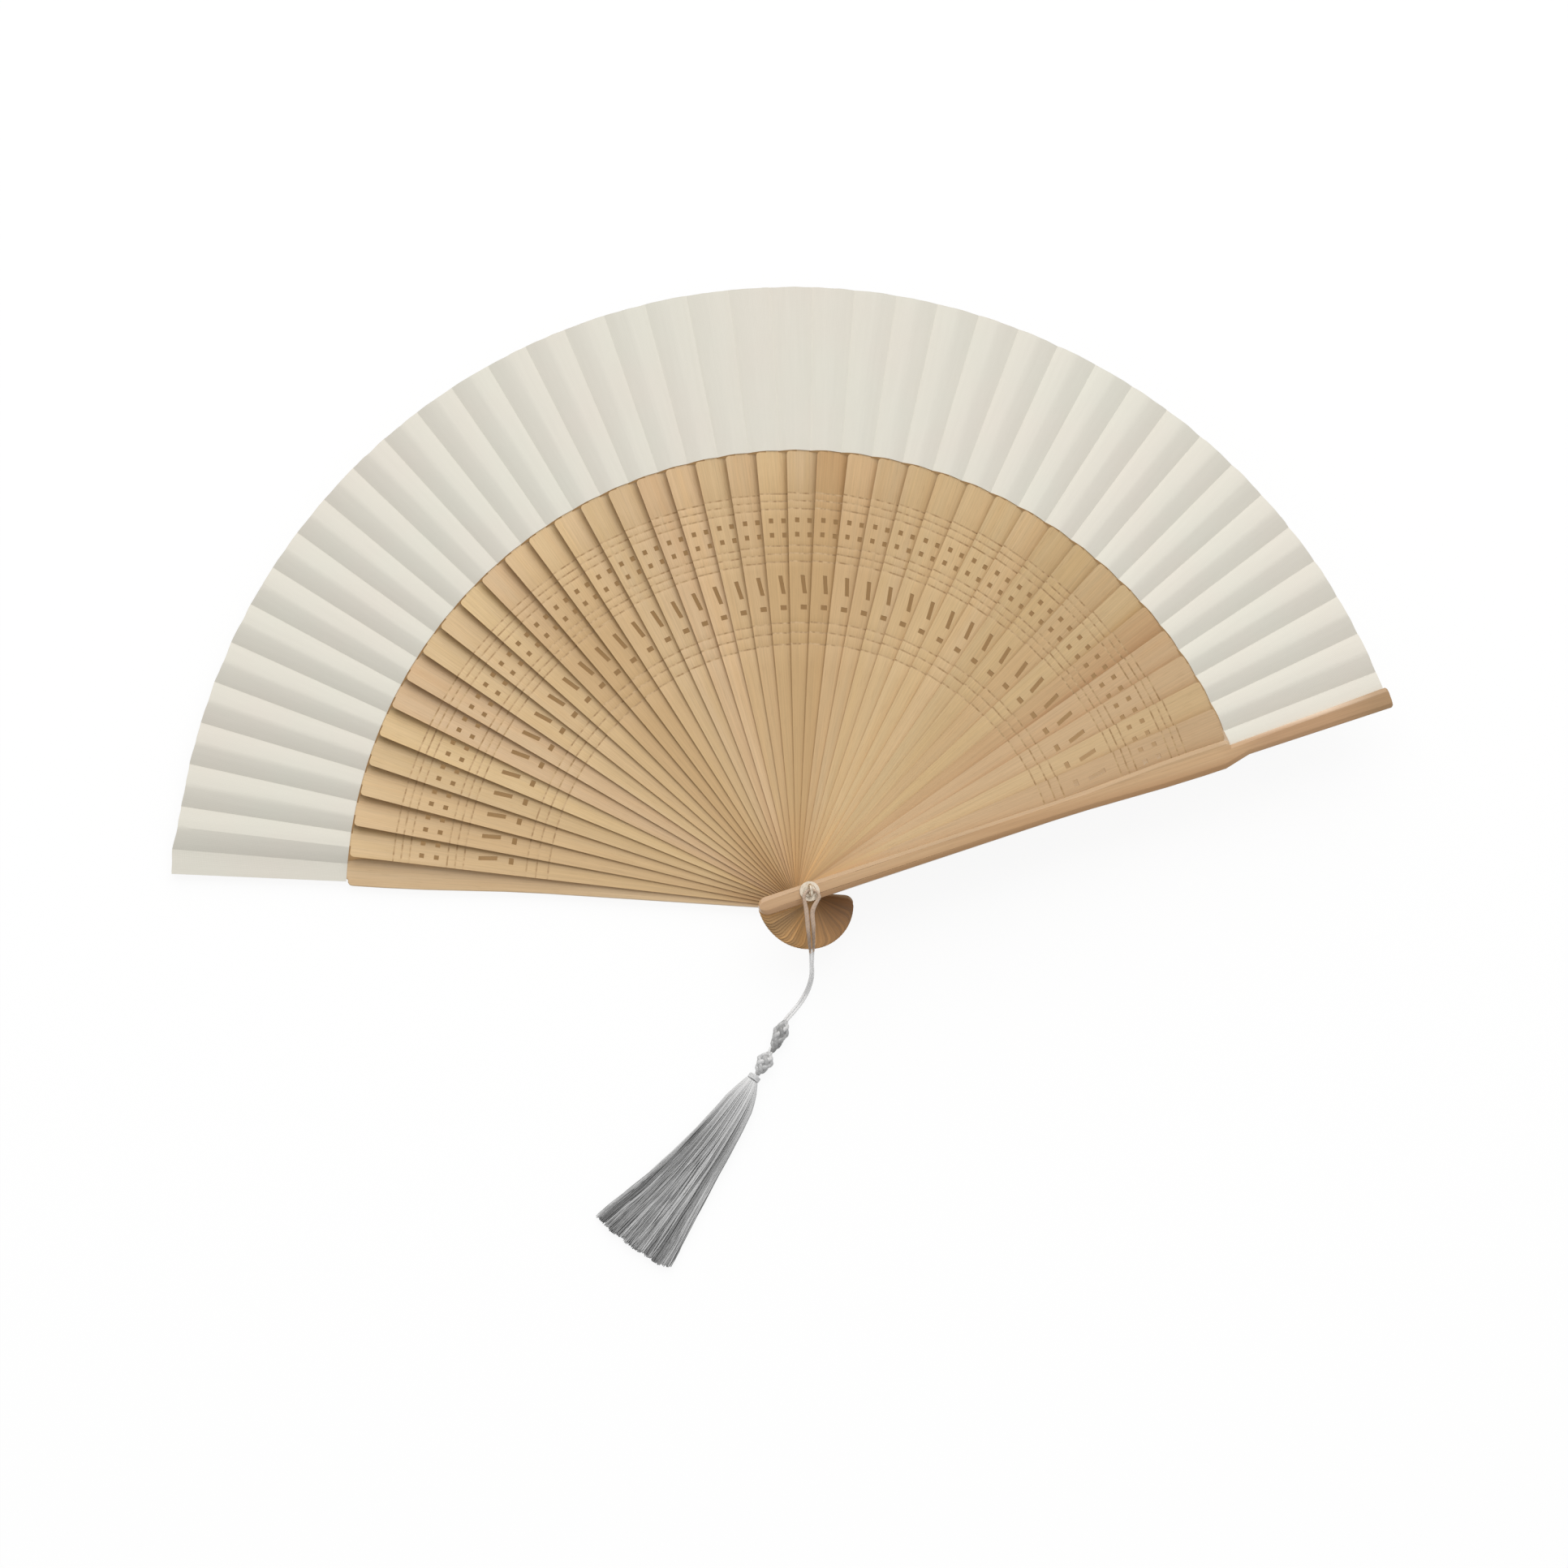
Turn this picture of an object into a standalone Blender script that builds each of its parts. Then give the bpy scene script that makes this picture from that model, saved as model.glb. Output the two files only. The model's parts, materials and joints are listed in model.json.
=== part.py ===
"""A folding fan: pierced bamboo ribs between two guards, a pleated leaf, a pivot pin and a tassel.

The fan lies open. Z is the pivot's axis, the underside is at Z = 0, and the open fan is centred
on +Y. In the frame of a rib or a guard, Y runs out along it and X to its clockwise side.
"""
import math

import bmesh
import bpy
from mathutils import Matrix, Vector

# Opening of the fan
RIB_COUNT = 39
OPEN_ANGLE = math.radians(158)

# Leaf
LEAF_INNER = 0.1415
LEAF_OUTER = 0.1940
LEAF_THICK = 0.00025
LEAF_GAP = 0.0003
# share of the angle between two ribs that the panel glued on a rib takes
PANEL_share = 0.5
# how far the leaf's ends lie beside the middles of the back and front guards, at the outer edge
LEAF_COVER = 0.0043
LEAF_INSET = 0.0020

# Guards
GUARD_TIP = 0.195
GUARD_THICK = 0.0026
GUARD_THIN = 0.0015
GUARD_PIVOT_WIDTH = 0.0056
GUARD_HANDLE_WIDTH = 0.0086
# where the handle starts and ends to widen, as shares of the leaf's inner radius
GUARD_FLARE_shares = (0.565, 0.919)
GUARD_STRIP_WIDTH = 0.0046
GUARD_TIP_WIDTH = 0.0066
GUARD_LEAN = 0.0009
GUARD_SLANT = 0.0085
GUARD_SLANT_LEAD = 0.0035
GUARD_CORNER = 0.0014
GUARD_BEVEL = 0.0013
GUARD_BEVEL_DEPTH = 0.0006
GUARD_TIP_ROUND = 0.0006

# Ribs
RIB_THICK = 0.00036
RIB_GAP = 0.00012
RIB_PIVOT_WIDTH = 0.0052
RIB_RIM_WIDTH = 0.0106
RIB_ROUND = 0.0012
RIB_TILT = math.radians(12)
TWIST_START = 0.015
HEAD_REACH = 0.0165
RIM_CLEARANCE = 0.0005
STICK_WIDTH = 0.0040
STICK_TIP_WIDTH = 0.0034
STICK_TIP = 0.188

# Piercings of a rib, placed as shares of the leaf's inner radius
PAIR_ROW_shares = (0.8085, 0.841)
PAIR_SPREAD = 0.0040
PAIR_WIDTH = 0.0014
PAIR_LENGTH = 0.0015
SLOT_shares = (0.676, 0.717)
SLOT_WIDTH = 0.0013
SLOT_SLANT = 0.0007
WINDOW_share = 0.645
WINDOW_WIDTH = 0.0020
WINDOW_LENGTH = 0.0015
# where a rib's plate is divided, as shares of the leaf's inner radius
PLAIN_BAY_shares = (0.25, 0.39, 0.51)
SLOT_BAY_shares = (0.62, 0.74)
PAIR_BAY_shares = (0.785, 0.865)

# Pivot pin
PIN_RADIUS = 0.0012
PIN_CLEARANCE = 0.00006
SEAT_GAP = 0.0001
TAIL_RADIUS = 0.0030
TAIL_HEIGHT = 0.0008
TAIL_CHAMFER = 0.0003
WASHER_RADIUS = 0.0031
WASHER_THICK = 0.0005
CAP_RADIUS = 0.0020
CAP_HEIGHT = 0.0007
CAP_CHAMFER = 0.0003
EYE_RADIUS = 0.0016
EYE_WIRE = 0.0005

# Cord, knots and tassel
CORD_RADIUS = 0.0005
CORD_BIGHT = 0.0024
CORD_STEP = 0.0022
SOFT_GAP = 0.0003
UPPER_KNOT_RADIUS = 0.0024
LOWER_KNOT_RADIUS = 0.0026
KNOT_WRAP = 0.0003
COLLAR_LENGTH = 0.0016
COLLAR_RADIUS = 0.0022
COLLAR_BEAD = 0.0002
SKIRT_LENGTH = 0.0635
SKIRT_HEM_WIDTH = 0.0284
SKIRT_HEIGHT = 0.0056
SKIRT_FLUTE = 0.0005
SKIRT_BOW = 0.0017
SKIRT_ROUND = 0.0020
TASSEL_HEADING = math.radians(226.3)
TASSEL_SHIFT = 0.0013

# Number of sides of round and fluted pieces
HOLE_SIDES = 12
PIN_SIDES = 24
WIRE_SIDES = 8
KNOT_SIDES = 14
FLUTE_COUNT = 20
BEAD_COUNT = 4
# points between two of a cord's route
CURVE_STEPS = 20

# The middle of the two strands, and how far each lies beside it, from where they close up after
# the eye to the upper knot. They lie over the heads, hang down past them and run along the ground.
CORD_ROUTE = (
    (-0.0012, -0.0062, 0.0274, 0.00110),
    (-0.0015, -0.0110, 0.0268, 0.00105),
    (-0.0018, -0.0155, 0.0264, 0.00075),
    (-0.0020, -0.0188, 0.0248, 0.00065),
    (-0.0018, -0.0209, 0.0205, 0.00065),
    (-0.0012, -0.0221, 0.0145, 0.00065),
    (-0.0006, -0.0234, 0.0085, 0.00065),
    (-0.0006, -0.0252, 0.0036, 0.00065),
    (-0.0017, -0.0278, 0.0011, 0.00065),
    (-0.0038, -0.0306, 0.0008, 0.00065),
    (-0.0064, -0.0332, 0.0009, 0.00065),
    (-0.0084, -0.0349, 0.0016, 0.00065),
    (-0.0097, -0.0361, 0.0024, 0.00065),
)
UPPER_KNOT_END = (-0.0158, -0.0460)
LOWER_KNOT_END = (-0.0206, -0.0529)

# Worked out from the sizes above
STEP_ANGLE = OPEN_ANGLE / (RIB_COUNT + 1)
RIB_PITCH = RIB_THICK + RIB_GAP
RIB_RIM = LEAF_INNER - RIM_CLEARANCE
FLARE_START, FLARE_END = (LEAF_INNER * share for share in GUARD_FLARE_shares)
SLANT_START = RIB_RIM - GUARD_SLANT_LEAD
GUARD_Z = TAIL_HEIGHT + SEAT_GAP
FIRST_RIB_Z = GUARD_Z + GUARD_THICK + RIB_GAP
FRONT_GUARD_Z = FIRST_RIB_Z + RIB_COUNT * RIB_PITCH
FRONT_FACE_Z = FRONT_GUARD_Z + GUARD_THICK
WASHER_Z = FRONT_FACE_Z + SEAT_GAP
CAP_Z = WASHER_Z + WASHER_THICK + SEAT_GAP
EYE_Z = CAP_Z + CAP_HEIGHT + EYE_RADIUS - EYE_WIRE / 2
HOLE_RADIUS = (PIN_RADIUS + PIN_CLEARANCE) / math.cos(math.pi / HOLE_SIDES)
# points closer than this are one
WELD = RIB_GAP / 100


def material(name, colour, roughness, metallic=0.0):
    """A Principled material of one colour."""
    made = bpy.data.materials.new(name)
    made.use_nodes = True
    shader = made.node_tree.nodes["Principled BSDF"]
    shader.inputs["Base Color"].default_value = (*colour, 1.0)
    shader.inputs["Roughness"].default_value = roughness
    shader.inputs["Metallic"].default_value = metallic
    return made


def add_object(name, mesh, finish):
    """An object in the scene with its own copy of a finish."""
    made = bpy.data.objects.new(name, mesh)
    bpy.context.scene.collection.objects.link(made)
    own = finish.copy()
    own.name = name
    if mesh.materials:
        made.material_slots[0].link = "OBJECT"
        made.material_slots[0].material = own
    else:
        mesh.materials.append(own)
    return made


def mesh_from(name, bm, smooth_angle=None):
    """A mesh with its faces turned outwards, made of flat triangles."""
    bmesh.ops.recalc_face_normals(bm, faces=bm.faces[:])
    bmesh.ops.triangulate(bm, faces=bm.faces[:])
    mesh = bpy.data.meshes.new(name)
    bm.to_mesh(mesh)
    bm.free()
    if smooth_angle is not None:
        mesh.shade_smooth()
        mesh.set_sharp_from_angle(angle=smooth_angle)
    return mesh


def loft(name, loops, smooth_angle=None):
    """A closed solid through loops of points, each with as many points as the next."""
    bm = bmesh.new()
    rings = [[bm.verts.new(point) for point in loop] for loop in loops]
    for ring, following in zip(rings, rings[1:]):
        for here, (a, b) in enumerate(zip(ring, following)):
            after = (here + 1) % len(ring)
            bm.faces.new((a, ring[after], following[after], b))
    bm.faces.new(rings[0])
    bm.faces.new(rings[-1])
    return mesh_from(name, bm, smooth_angle)


def straight_share(low, high, value):
    """How far a value is from low to high, kept between 0 and 1."""
    return min(1.0, max(0.0, (value - low) / (high - low)))


def between(start, end, share):
    return start + (end - start) * share


# Ribs
def rib_half_width(along):
    """Half the width of a rib's plate, which tapers straight from its rim to the pivot."""
    return between(RIB_PIVOT_WIDTH, RIB_RIM_WIDTH, straight_share(0, RIB_RIM, along)) / 2


def rib_slope(along):
    """The tangent of a rib's tilt: none at the head, and full from the rim outwards."""
    return math.tan(RIB_TILT) * straight_share(TWIST_START, RIB_RIM - RIB_ROUND, along)


def rectangle(across, along, width, length, slant=0.0):
    """Corners of a piercing, whose outer end is moved back by the slant."""
    half, reach = width / 2, length / 2
    return [
        (across - half + slant / 2, along - reach),
        (across + half + slant / 2, along - reach),
        (across + half - slant / 2, along + reach),
        (across - half - slant / 2, along + reach),
    ]


def slot_piercings():
    low, high = (LEAF_INNER * share for share in SLOT_shares)
    window = rectangle(0, LEAF_INNER * WINDOW_share, WINDOW_WIDTH, WINDOW_LENGTH)
    return [rectangle(0, (low + high) / 2, SLOT_WIDTH, high - low, SLOT_SLANT), window]


def pair_piercings():
    return [
        rectangle(side * PAIR_SPREAD / 2, LEAF_INNER * share, PAIR_WIDTH, PAIR_LENGTH)
        for share in PAIR_ROW_shares
        for side in (-1, 1)
    ]


def pin_hole():
    turn = 2 * math.pi / HOLE_SIDES
    return [
        (HOLE_RADIUS * math.cos(turn * n), HOLE_RADIUS * math.sin(turn * n))
        for n in range(HOLE_SIDES)
    ]


def head_arc(half_width, reach, steps):
    """The round end of a head, from its clockwise side to the other, without its ends."""
    centre = half_width - reach
    turns = [math.pi * n / steps for n in range(1, steps)]
    return [(half_width * math.cos(t), centre - half_width * math.sin(t)) for t in turns]


def rib_mesh():
    """A rib's plate with its piercings, twisted from flat at the head to its full tilt."""
    bm = bmesh.new()
    made = {}

    def vert(point):
        key = (round(point[0] / WELD), round(point[1] / WELD))
        if key not in made:
            made[key] = bm.verts.new((point[0], point[1], 0))
        return made[key]

    def bay(outline, piercings=()):
        edges = []
        for loop in (outline, *piercings):
            points = [vert(point) for point in loop]
            for a, b in zip(points, points[1:] + points[:1]):
                edges.append(bm.edges.get((a, b)) or bm.edges.new((a, b)))
        bmesh.ops.triangle_fill(bm, use_beauty=True, use_dissolve=False, edges=edges)

    def side(along):
        half = rib_half_width(along)
        return (-half, along), (half, along)

    half_head = RIB_PIVOT_WIDTH / 2
    neck = half_head - HEAD_REACH
    left, right = side(TWIST_START)
    arc = head_arc(half_head, HEAD_REACH, HOLE_SIDES // 2)
    bay([left, (-half_head, 0), (-half_head, neck), *arc[::-1], (half_head, neck),
         (half_head, 0), right], [pin_hole()])
    plain = [LEAF_INNER * share for share in PLAIN_BAY_shares]
    slots = [LEAF_INNER * share for share in SLOT_BAY_shares]
    pairs = [LEAF_INNER * share for share in PAIR_BAY_shares]
    stations = [TWIST_START, *plain, *slots, *pairs, RIB_RIM - RIB_ROUND]
    for start, end in zip(stations, stations[1:]):
        outline = [*side(start), *reversed(side(end))]
        cut = {slots[0]: slot_piercings, pairs[0]: pair_piercings}.get(start)
        bay(outline, cut() if cut else ())

    corner = rib_half_width(RIB_RIM) - RIB_ROUND
    stick, tip = STICK_WIDTH / 2, STICK_TIP_WIDTH / 2
    bay([*side(RIB_RIM - RIB_ROUND), (corner, RIB_RIM), (stick, RIB_RIM), (-stick, RIB_RIM),
         (-corner, RIB_RIM)])
    bay([(-stick, RIB_RIM), (stick, RIB_RIM), (tip, STICK_TIP), (-tip, STICK_TIP)])

    top = bmesh.ops.extrude_face_region(bm, geom=bm.faces[:])["geom"]
    bmesh.ops.translate(
        bm, verts=[v for v in top if isinstance(v, bmesh.types.BMVert)], vec=(0, 0, RIB_THICK)
    )
    for v in bm.verts:
        v.co.z -= rib_slope(v.co.y) * v.co.x
    return mesh_from("rib", bm)


# Guards
def guard_sides(along):
    """Where a guard's two sides are, (counter-clockwise, clockwise), beside its middle line."""
    handle_end = RIB_RIM - GUARD_CORNER
    flare = straight_share(FLARE_START, FLARE_END, along)
    handle = between(GUARD_PIVOT_WIDTH / 2, GUARD_HANDLE_WIDTH / 2, flare**2 * (3 - 2 * flare))
    out = straight_share(RIB_RIM, GUARD_TIP, along)
    strip = between(GUARD_STRIP_WIDTH / 2, GUARD_TIP_WIDTH / 2, out)
    slant = straight_share(SLANT_START, SLANT_START + GUARD_SLANT, along)
    clockwise = between(handle, strip - GUARD_LEAN * out, slant)
    if along <= handle_end:
        return -handle, clockwise
    if along >= RIB_RIM:
        return -strip - GUARD_LEAN * out, clockwise
    into = along - handle_end
    rounded = math.sqrt(GUARD_CORNER**2 - into**2)
    return -(handle - GUARD_CORNER + rounded), clockwise


def guard_loops():
    """Cross-sections of a guard from its head to its tip, with its outer face up."""
    half = GUARD_PIVOT_WIDTH / 2
    centre = half - HEAD_REACH
    quarter = [math.pi / 2 * n / 5 for n in range(5)]
    stations = [(centre - half * math.cos(t), half * math.sin(t)) for t in quarter[1:]]
    widths = [(along, -width, width) for along, width in stations]
    corner = [RIB_RIM - GUARD_CORNER * (1 - math.sin(t)) for t in quarter[::2]]
    flare = [between(FLARE_START, FLARE_END, share / 4) for share in range(5)]
    rim = [SLANT_START, *corner, RIB_RIM, SLANT_START + GUARD_SLANT]
    body = (centre, 0, TWIST_START, *flare, *rim, GUARD_TIP - GUARD_TIP_ROUND)
    widths += [(along, *guard_sides(along)) for along in body]
    left, right = guard_sides(GUARD_TIP)
    widths.append((GUARD_TIP, left + GUARD_TIP_ROUND, right - GUARD_TIP_ROUND))
    loops = []
    for along, left, right in widths:
        inner = (GUARD_THICK - GUARD_THIN) * straight_share(TWIST_START, RIB_RIM, along)
        bevel = min(GUARD_BEVEL, (right - left) / 4)
        edge = GUARD_THICK - GUARD_BEVEL_DEPTH
        loops.append([
            (left, along, inner),
            (right, along, inner),
            (right, along, edge),
            (right - bevel, along, GUARD_THICK),
            (left + bevel, along, GUARD_THICK),
            (left, along, edge),
        ])
    return loops


def make_guard(name, outer_up, finish):
    """One of the pair of guards, with the pin's hole cut through its head."""
    loops = guard_loops()
    if not outer_up:
        loops = [[(x, y, GUARD_THICK - z) for x, y, z in loop] for loop in loops]
    guard = add_object(name, loft(name, loops), finish)
    bm = bmesh.new()
    bmesh.ops.create_cone(
        bm, cap_ends=True, segments=HOLE_SIDES, radius1=HOLE_RADIUS, radius2=HOLE_RADIUS,
        depth=GUARD_THICK * 3, matrix=Matrix.Translation((0, 0, GUARD_THICK / 2)),
    )
    cutter = add_object(name + "_hole", mesh_from(name + "_hole", bm), finish)
    cutter.hide_render = True
    cutter.display_type = "WIRE"
    cutter.parent = guard
    cut = guard.modifiers.new("pin hole", "BOOLEAN")
    cut.object = cutter
    cut.operation = "DIFFERENCE"
    return guard


# Leaf
def fold_lines():
    """The leaf's fold lines as (angle clockwise from +Y, rib number, angle beside the rib)."""
    half_panel = STEP_ANGLE * PANEL_share / 2
    lines = []
    for number in range(RIB_COUNT + 2):
        middle = number * STEP_ANGLE - OPEN_ANGLE / 2
        before = half_panel if number else LEAF_COVER / LEAF_OUTER
        after = half_panel if number <= RIB_COUNT else LEAF_INSET / LEAF_OUTER
        lines.append((middle - before, number, -before))
        lines.append((middle + after, number, after))
    return lines


def leaf_underside(number, beside, radius):
    """Height of the leaf's underside over or under the rib or guard of that number."""
    if number == 0:
        return GUARD_Z + GUARD_THIN + LEAF_GAP
    if number == RIB_COUNT + 1:
        return FRONT_GUARD_Z + (GUARD_THICK - GUARD_THIN) - LEAF_GAP - LEAF_THICK
    rib_z = FIRST_RIB_Z + (number - 1) * RIB_PITCH
    fall = math.tan(RIB_TILT) * radius * math.sin(beside)
    return rib_z + RIB_THICK + LEAF_GAP - fall


def leaf_mesh():
    """The pleated leaf: a panel along each rib and guard, and one between each two."""
    loops = []
    for angle, number, beside in fold_lines():
        loop = []
        for radius, lift in (
            (LEAF_INNER, 0), (LEAF_OUTER, 0), (LEAF_OUTER, LEAF_THICK), (LEAF_INNER, LEAF_THICK)
        ):
            height = leaf_underside(number, beside, radius) + lift
            loop.append((radius * math.sin(angle), radius * math.cos(angle), height))
        loops.append(loop)
    return loft("leaf", loops)


# Pivot
def turned(bm, profile, sides):
    """Turns a profile of (radius, height) points, from the axis to the axis, round Z."""
    verts = [bm.verts.new((radius, 0, height)) for radius, height in profile]
    edges = [bm.edges.new(pair) for pair in zip(verts, verts[1:])]
    bmesh.ops.spin(
        bm, geom=verts + edges, cent=(0, 0, 0), axis=(0, 0, 1), angle=2 * math.pi,
        steps=sides, use_merge=True, use_duplicate=False,
    )
    bmesh.ops.remove_doubles(bm, verts=bm.verts[:], dist=WELD)


def pin_mesh():
    """The pin: a flat tail under the back guard, its shank, and a cap over the washer."""
    bm = bmesh.new()
    turned(bm, [
        (0, 0),
        (TAIL_RADIUS - TAIL_CHAMFER, 0),
        (TAIL_RADIUS, TAIL_CHAMFER),
        (TAIL_RADIUS, TAIL_HEIGHT),
        (PIN_RADIUS, TAIL_HEIGHT),
        (PIN_RADIUS, CAP_Z),
        (CAP_RADIUS, CAP_Z),
        (CAP_RADIUS, CAP_Z + CAP_HEIGHT - CAP_CHAMFER),
        (CAP_RADIUS - CAP_CHAMFER, CAP_Z + CAP_HEIGHT),
        (0, CAP_Z + CAP_HEIGHT),
    ], PIN_SIDES)
    return mesh_from("pivot_pin", bm, math.radians(35))


def eye_mesh():
    """A wire ring that stands on the cap, with its hole along X."""
    bm = bmesh.new()
    turn = 2 * math.pi / WIRE_SIDES
    ring = [
        bm.verts.new((
            EYE_WIRE * math.sin(turn * n),
            EYE_RADIUS + EYE_WIRE * math.cos(turn * n),
            0,
        ))
        for n in range(WIRE_SIDES)
    ]
    edges = [bm.edges.new((a, b)) for a, b in zip(ring, ring[1:] + ring[:1])]
    bmesh.ops.spin(
        bm, geom=ring + edges, cent=(0, 0, 0), axis=(1, 0, 0), angle=2 * math.pi,
        steps=PIN_SIDES, use_merge=True, use_duplicate=False,
    )
    bmesh.ops.remove_doubles(bm, verts=bm.verts[:], dist=WELD)
    bmesh.ops.translate(bm, verts=bm.verts[:], vec=(0, 0, EYE_Z))
    return mesh_from("eye", bm, math.radians(60))


def make_pin(finish):
    """The pin with its eye joined on."""
    pin = add_object("pivot_pin", pin_mesh(), finish)
    eye = add_object("pivot_pin_eye", eye_mesh(), finish)
    eye.hide_render = True
    eye.display_type = "WIRE"
    eye.parent = pin
    join = pin.modifiers.new("eye", "BOOLEAN")
    join.object = eye
    join.operation = "UNION"
    return pin


def washer_mesh():
    """A flat ring between the front guard and the pin's cap."""
    bm = bmesh.new()
    inner = HOLE_RADIUS
    profile = [
        (inner, WASHER_Z),
        (WASHER_RADIUS, WASHER_Z),
        (WASHER_RADIUS, WASHER_Z + WASHER_THICK),
        (inner, WASHER_Z + WASHER_THICK),
        (inner, WASHER_Z),
    ]
    turned(bm, profile, PIN_SIDES)
    return mesh_from("washer", bm, math.radians(35))


# Cord, knots and tassel
def smooth_line(points, step):
    """A smooth curve through the points, cut into even steps."""
    ends = [points[0] * 2 - points[1], *points, points[-1] * 2 - points[-2]]
    fine = []
    for a, b, c, d in zip(ends, ends[1:], ends[2:], ends[3:]):
        for n in range(CURVE_STEPS):
            t = n / CURVE_STEPS
            fine.append((
                b * 2 + (c - a) * t + (a * 2 - b * 5 + c * 4 - d) * t**2
                + (b * 3 - a - c * 3 + d) * t**3
            ) / 2)
    fine.append(points[-1])
    lengths = [0.0]
    for a, b in zip(fine, fine[1:]):
        lengths.append(lengths[-1] + (b - a).length)
    count = max(2, round(lengths[-1] / step))
    line, here = [fine[0]], 0
    for n in range(1, count):
        wanted = lengths[-1] * n / count
        while lengths[here + 1] < wanted:
            here += 1
        share = (wanted - lengths[here]) / (lengths[here + 1] - lengths[here])
        line.append(fine[here].lerp(fine[here + 1], share))
    return [*line, fine[-1]]


def strand_line(side):
    """One strand's middle: half of the bight through the eye, then beside the other strand."""
    start = math.asin(SOFT_GAP / 2 / CORD_BIGHT)
    bight = []
    for n in range(5):
        turn = between(start, math.pi / 2, n / 4)
        across = side * CORD_BIGHT * math.sin(turn)
        bight.append(Vector((across, CORD_BIGHT * (math.cos(turn) - 1), EYE_Z)))
    route = [Vector(place[:3]) for place in CORD_ROUTE]
    points = [bight[-1]]
    for n, point in enumerate(route):
        ahead = route[min(n + 1, len(route) - 1)] - route[max(n - 1, 0)]
        beside = Vector((-ahead.y, ahead.x, 0)).normalized()
        points.append(point + beside * side * CORD_ROUTE[n][3])
    return bight[:-1] + smooth_line(points, CORD_STEP)


def make_strand(name, side, finish):
    """A strand of the cord, as a tube."""
    curve = bpy.data.curves.new(name, "CURVE")
    curve.dimensions = "3D"
    line = strand_line(side)
    spline = curve.splines.new("POLY")
    spline.points.add(len(line) - 1)
    for point, place in zip(spline.points, line):
        point.co = (*place, 1)
    curve.bevel_depth = CORD_RADIUS
    curve.bevel_resolution = 2
    curve.use_fill_caps = True
    made = bpy.data.objects.new(name, curve)
    bpy.context.scene.collection.objects.link(made)
    own = finish.copy()
    own.name = name
    curve.materials.append(own)
    return made


def lengthwise(start, end, low=0.0):
    """The frame of a piece that lies from start to end: its start, its line and its side."""
    line = Vector((end[0] - start[0], end[1] - start[1], 0)).normalized()
    return Vector((start[0], start[1], low)), line, Vector((-line.y, line.x, 0))


def knot_mesh(name, start, end, radius):
    """A knot of wound cord: blunt and wide near its top, tapering to its lower end."""
    origin, line, beside = lengthwise(start, end)
    length = math.dist(start[:2], end[:2]) - SOFT_GAP
    origin += line * SOFT_GAP
    profile_shares = (
        (0.0, 0.30), (0.08, 0.66), (0.20, 0.90), (0.36, 1.0), (0.54, 0.90), (0.72, 0.68),
        (0.88, 0.45), (1.0, 0.28),
    )
    loops = []
    for along, size in profile_shares:
        loop = []
        for n in range(KNOT_SIDES):
            turn = 2 * math.pi * n / KNOT_SIDES
            wrap = KNOT_WRAP * size * (math.cos(2 * turn + 2 * math.pi * along) - 1)
            reach = radius * size + wrap
            across = beside * reach * math.cos(turn)
            height = radius + reach * math.sin(turn)
            loop.append(origin + line * length * along + across + Vector((0, 0, height)))
        loops.append(loop)
    return loft(name, loops, math.radians(60))


def collar_mesh(start, heading):
    """The thread wound round the top of the tassel, in beads."""
    origin, line, beside = lengthwise(start, (start[0] + heading.x, start[1] + heading.y))
    loops = []
    for n in range(BEAD_COUNT * 2 + 1):
        reach = COLLAR_RADIUS - (0 if n % 2 else COLLAR_BEAD)
        middle = origin + line * COLLAR_LENGTH * n / (BEAD_COUNT * 2)
        turns = [2 * math.pi * k / KNOT_SIDES for k in range(KNOT_SIDES)]
        loops.append([
            middle + beside * reach * math.cos(t)
            + Vector((0, 0, COLLAR_RADIUS + reach * math.sin(t)))
            for t in turns
        ])
    return loft("tassel_collar", loops, math.radians(60))


def skirt_mesh(start, heading):
    """The tassel's threads as one fluted form that spreads and lies flat on the ground."""
    origin, line, beside = lengthwise(start, (start[0] + heading.x, start[1] + heading.y))
    width_shares = (
        (0.0, 0.155), (0.06, 0.28), (0.13, 0.37), (0.32, 0.47), (0.53, 0.60), (0.74, 0.76),
        (0.9, 0.93), (1.0, 1.0),
    )
    height_shares = (0.72, 0.95, 1.0, 0.95, 0.85, 0.75, 0.66, 0.6)
    loops = []
    steps = FLUTE_COUNT * 2
    for (along, width), tall in zip(width_shares, height_shares):
        half = SKIRT_HEM_WIDTH * width / 2
        height = SKIRT_HEIGHT * tall
        flute = SKIRT_FLUTE * math.sqrt(width)
        loop = []
        for n in range(steps):
            turn = 2 * math.pi * n / steps
            groove = flute * (n % 2)
            bow = SKIRT_BOW * math.sin(math.pi * along)
            across = beside * (bow + (half - groove) * math.cos(turn))
            rise = height / 2 + (height / 2 - groove) * math.sin(turn)
            short = SKIRT_ROUND * along * math.cos(turn) ** 2
            loop.append(
                origin + line * (SKIRT_LENGTH * along - short) + across + Vector((0, 0, rise))
            )
        loops.append(loop)
    return loft("tassel_skirt", loops, math.radians(60))


def clear_scene():
    for old in list(bpy.data.objects):
        bpy.data.objects.remove(old)


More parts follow.
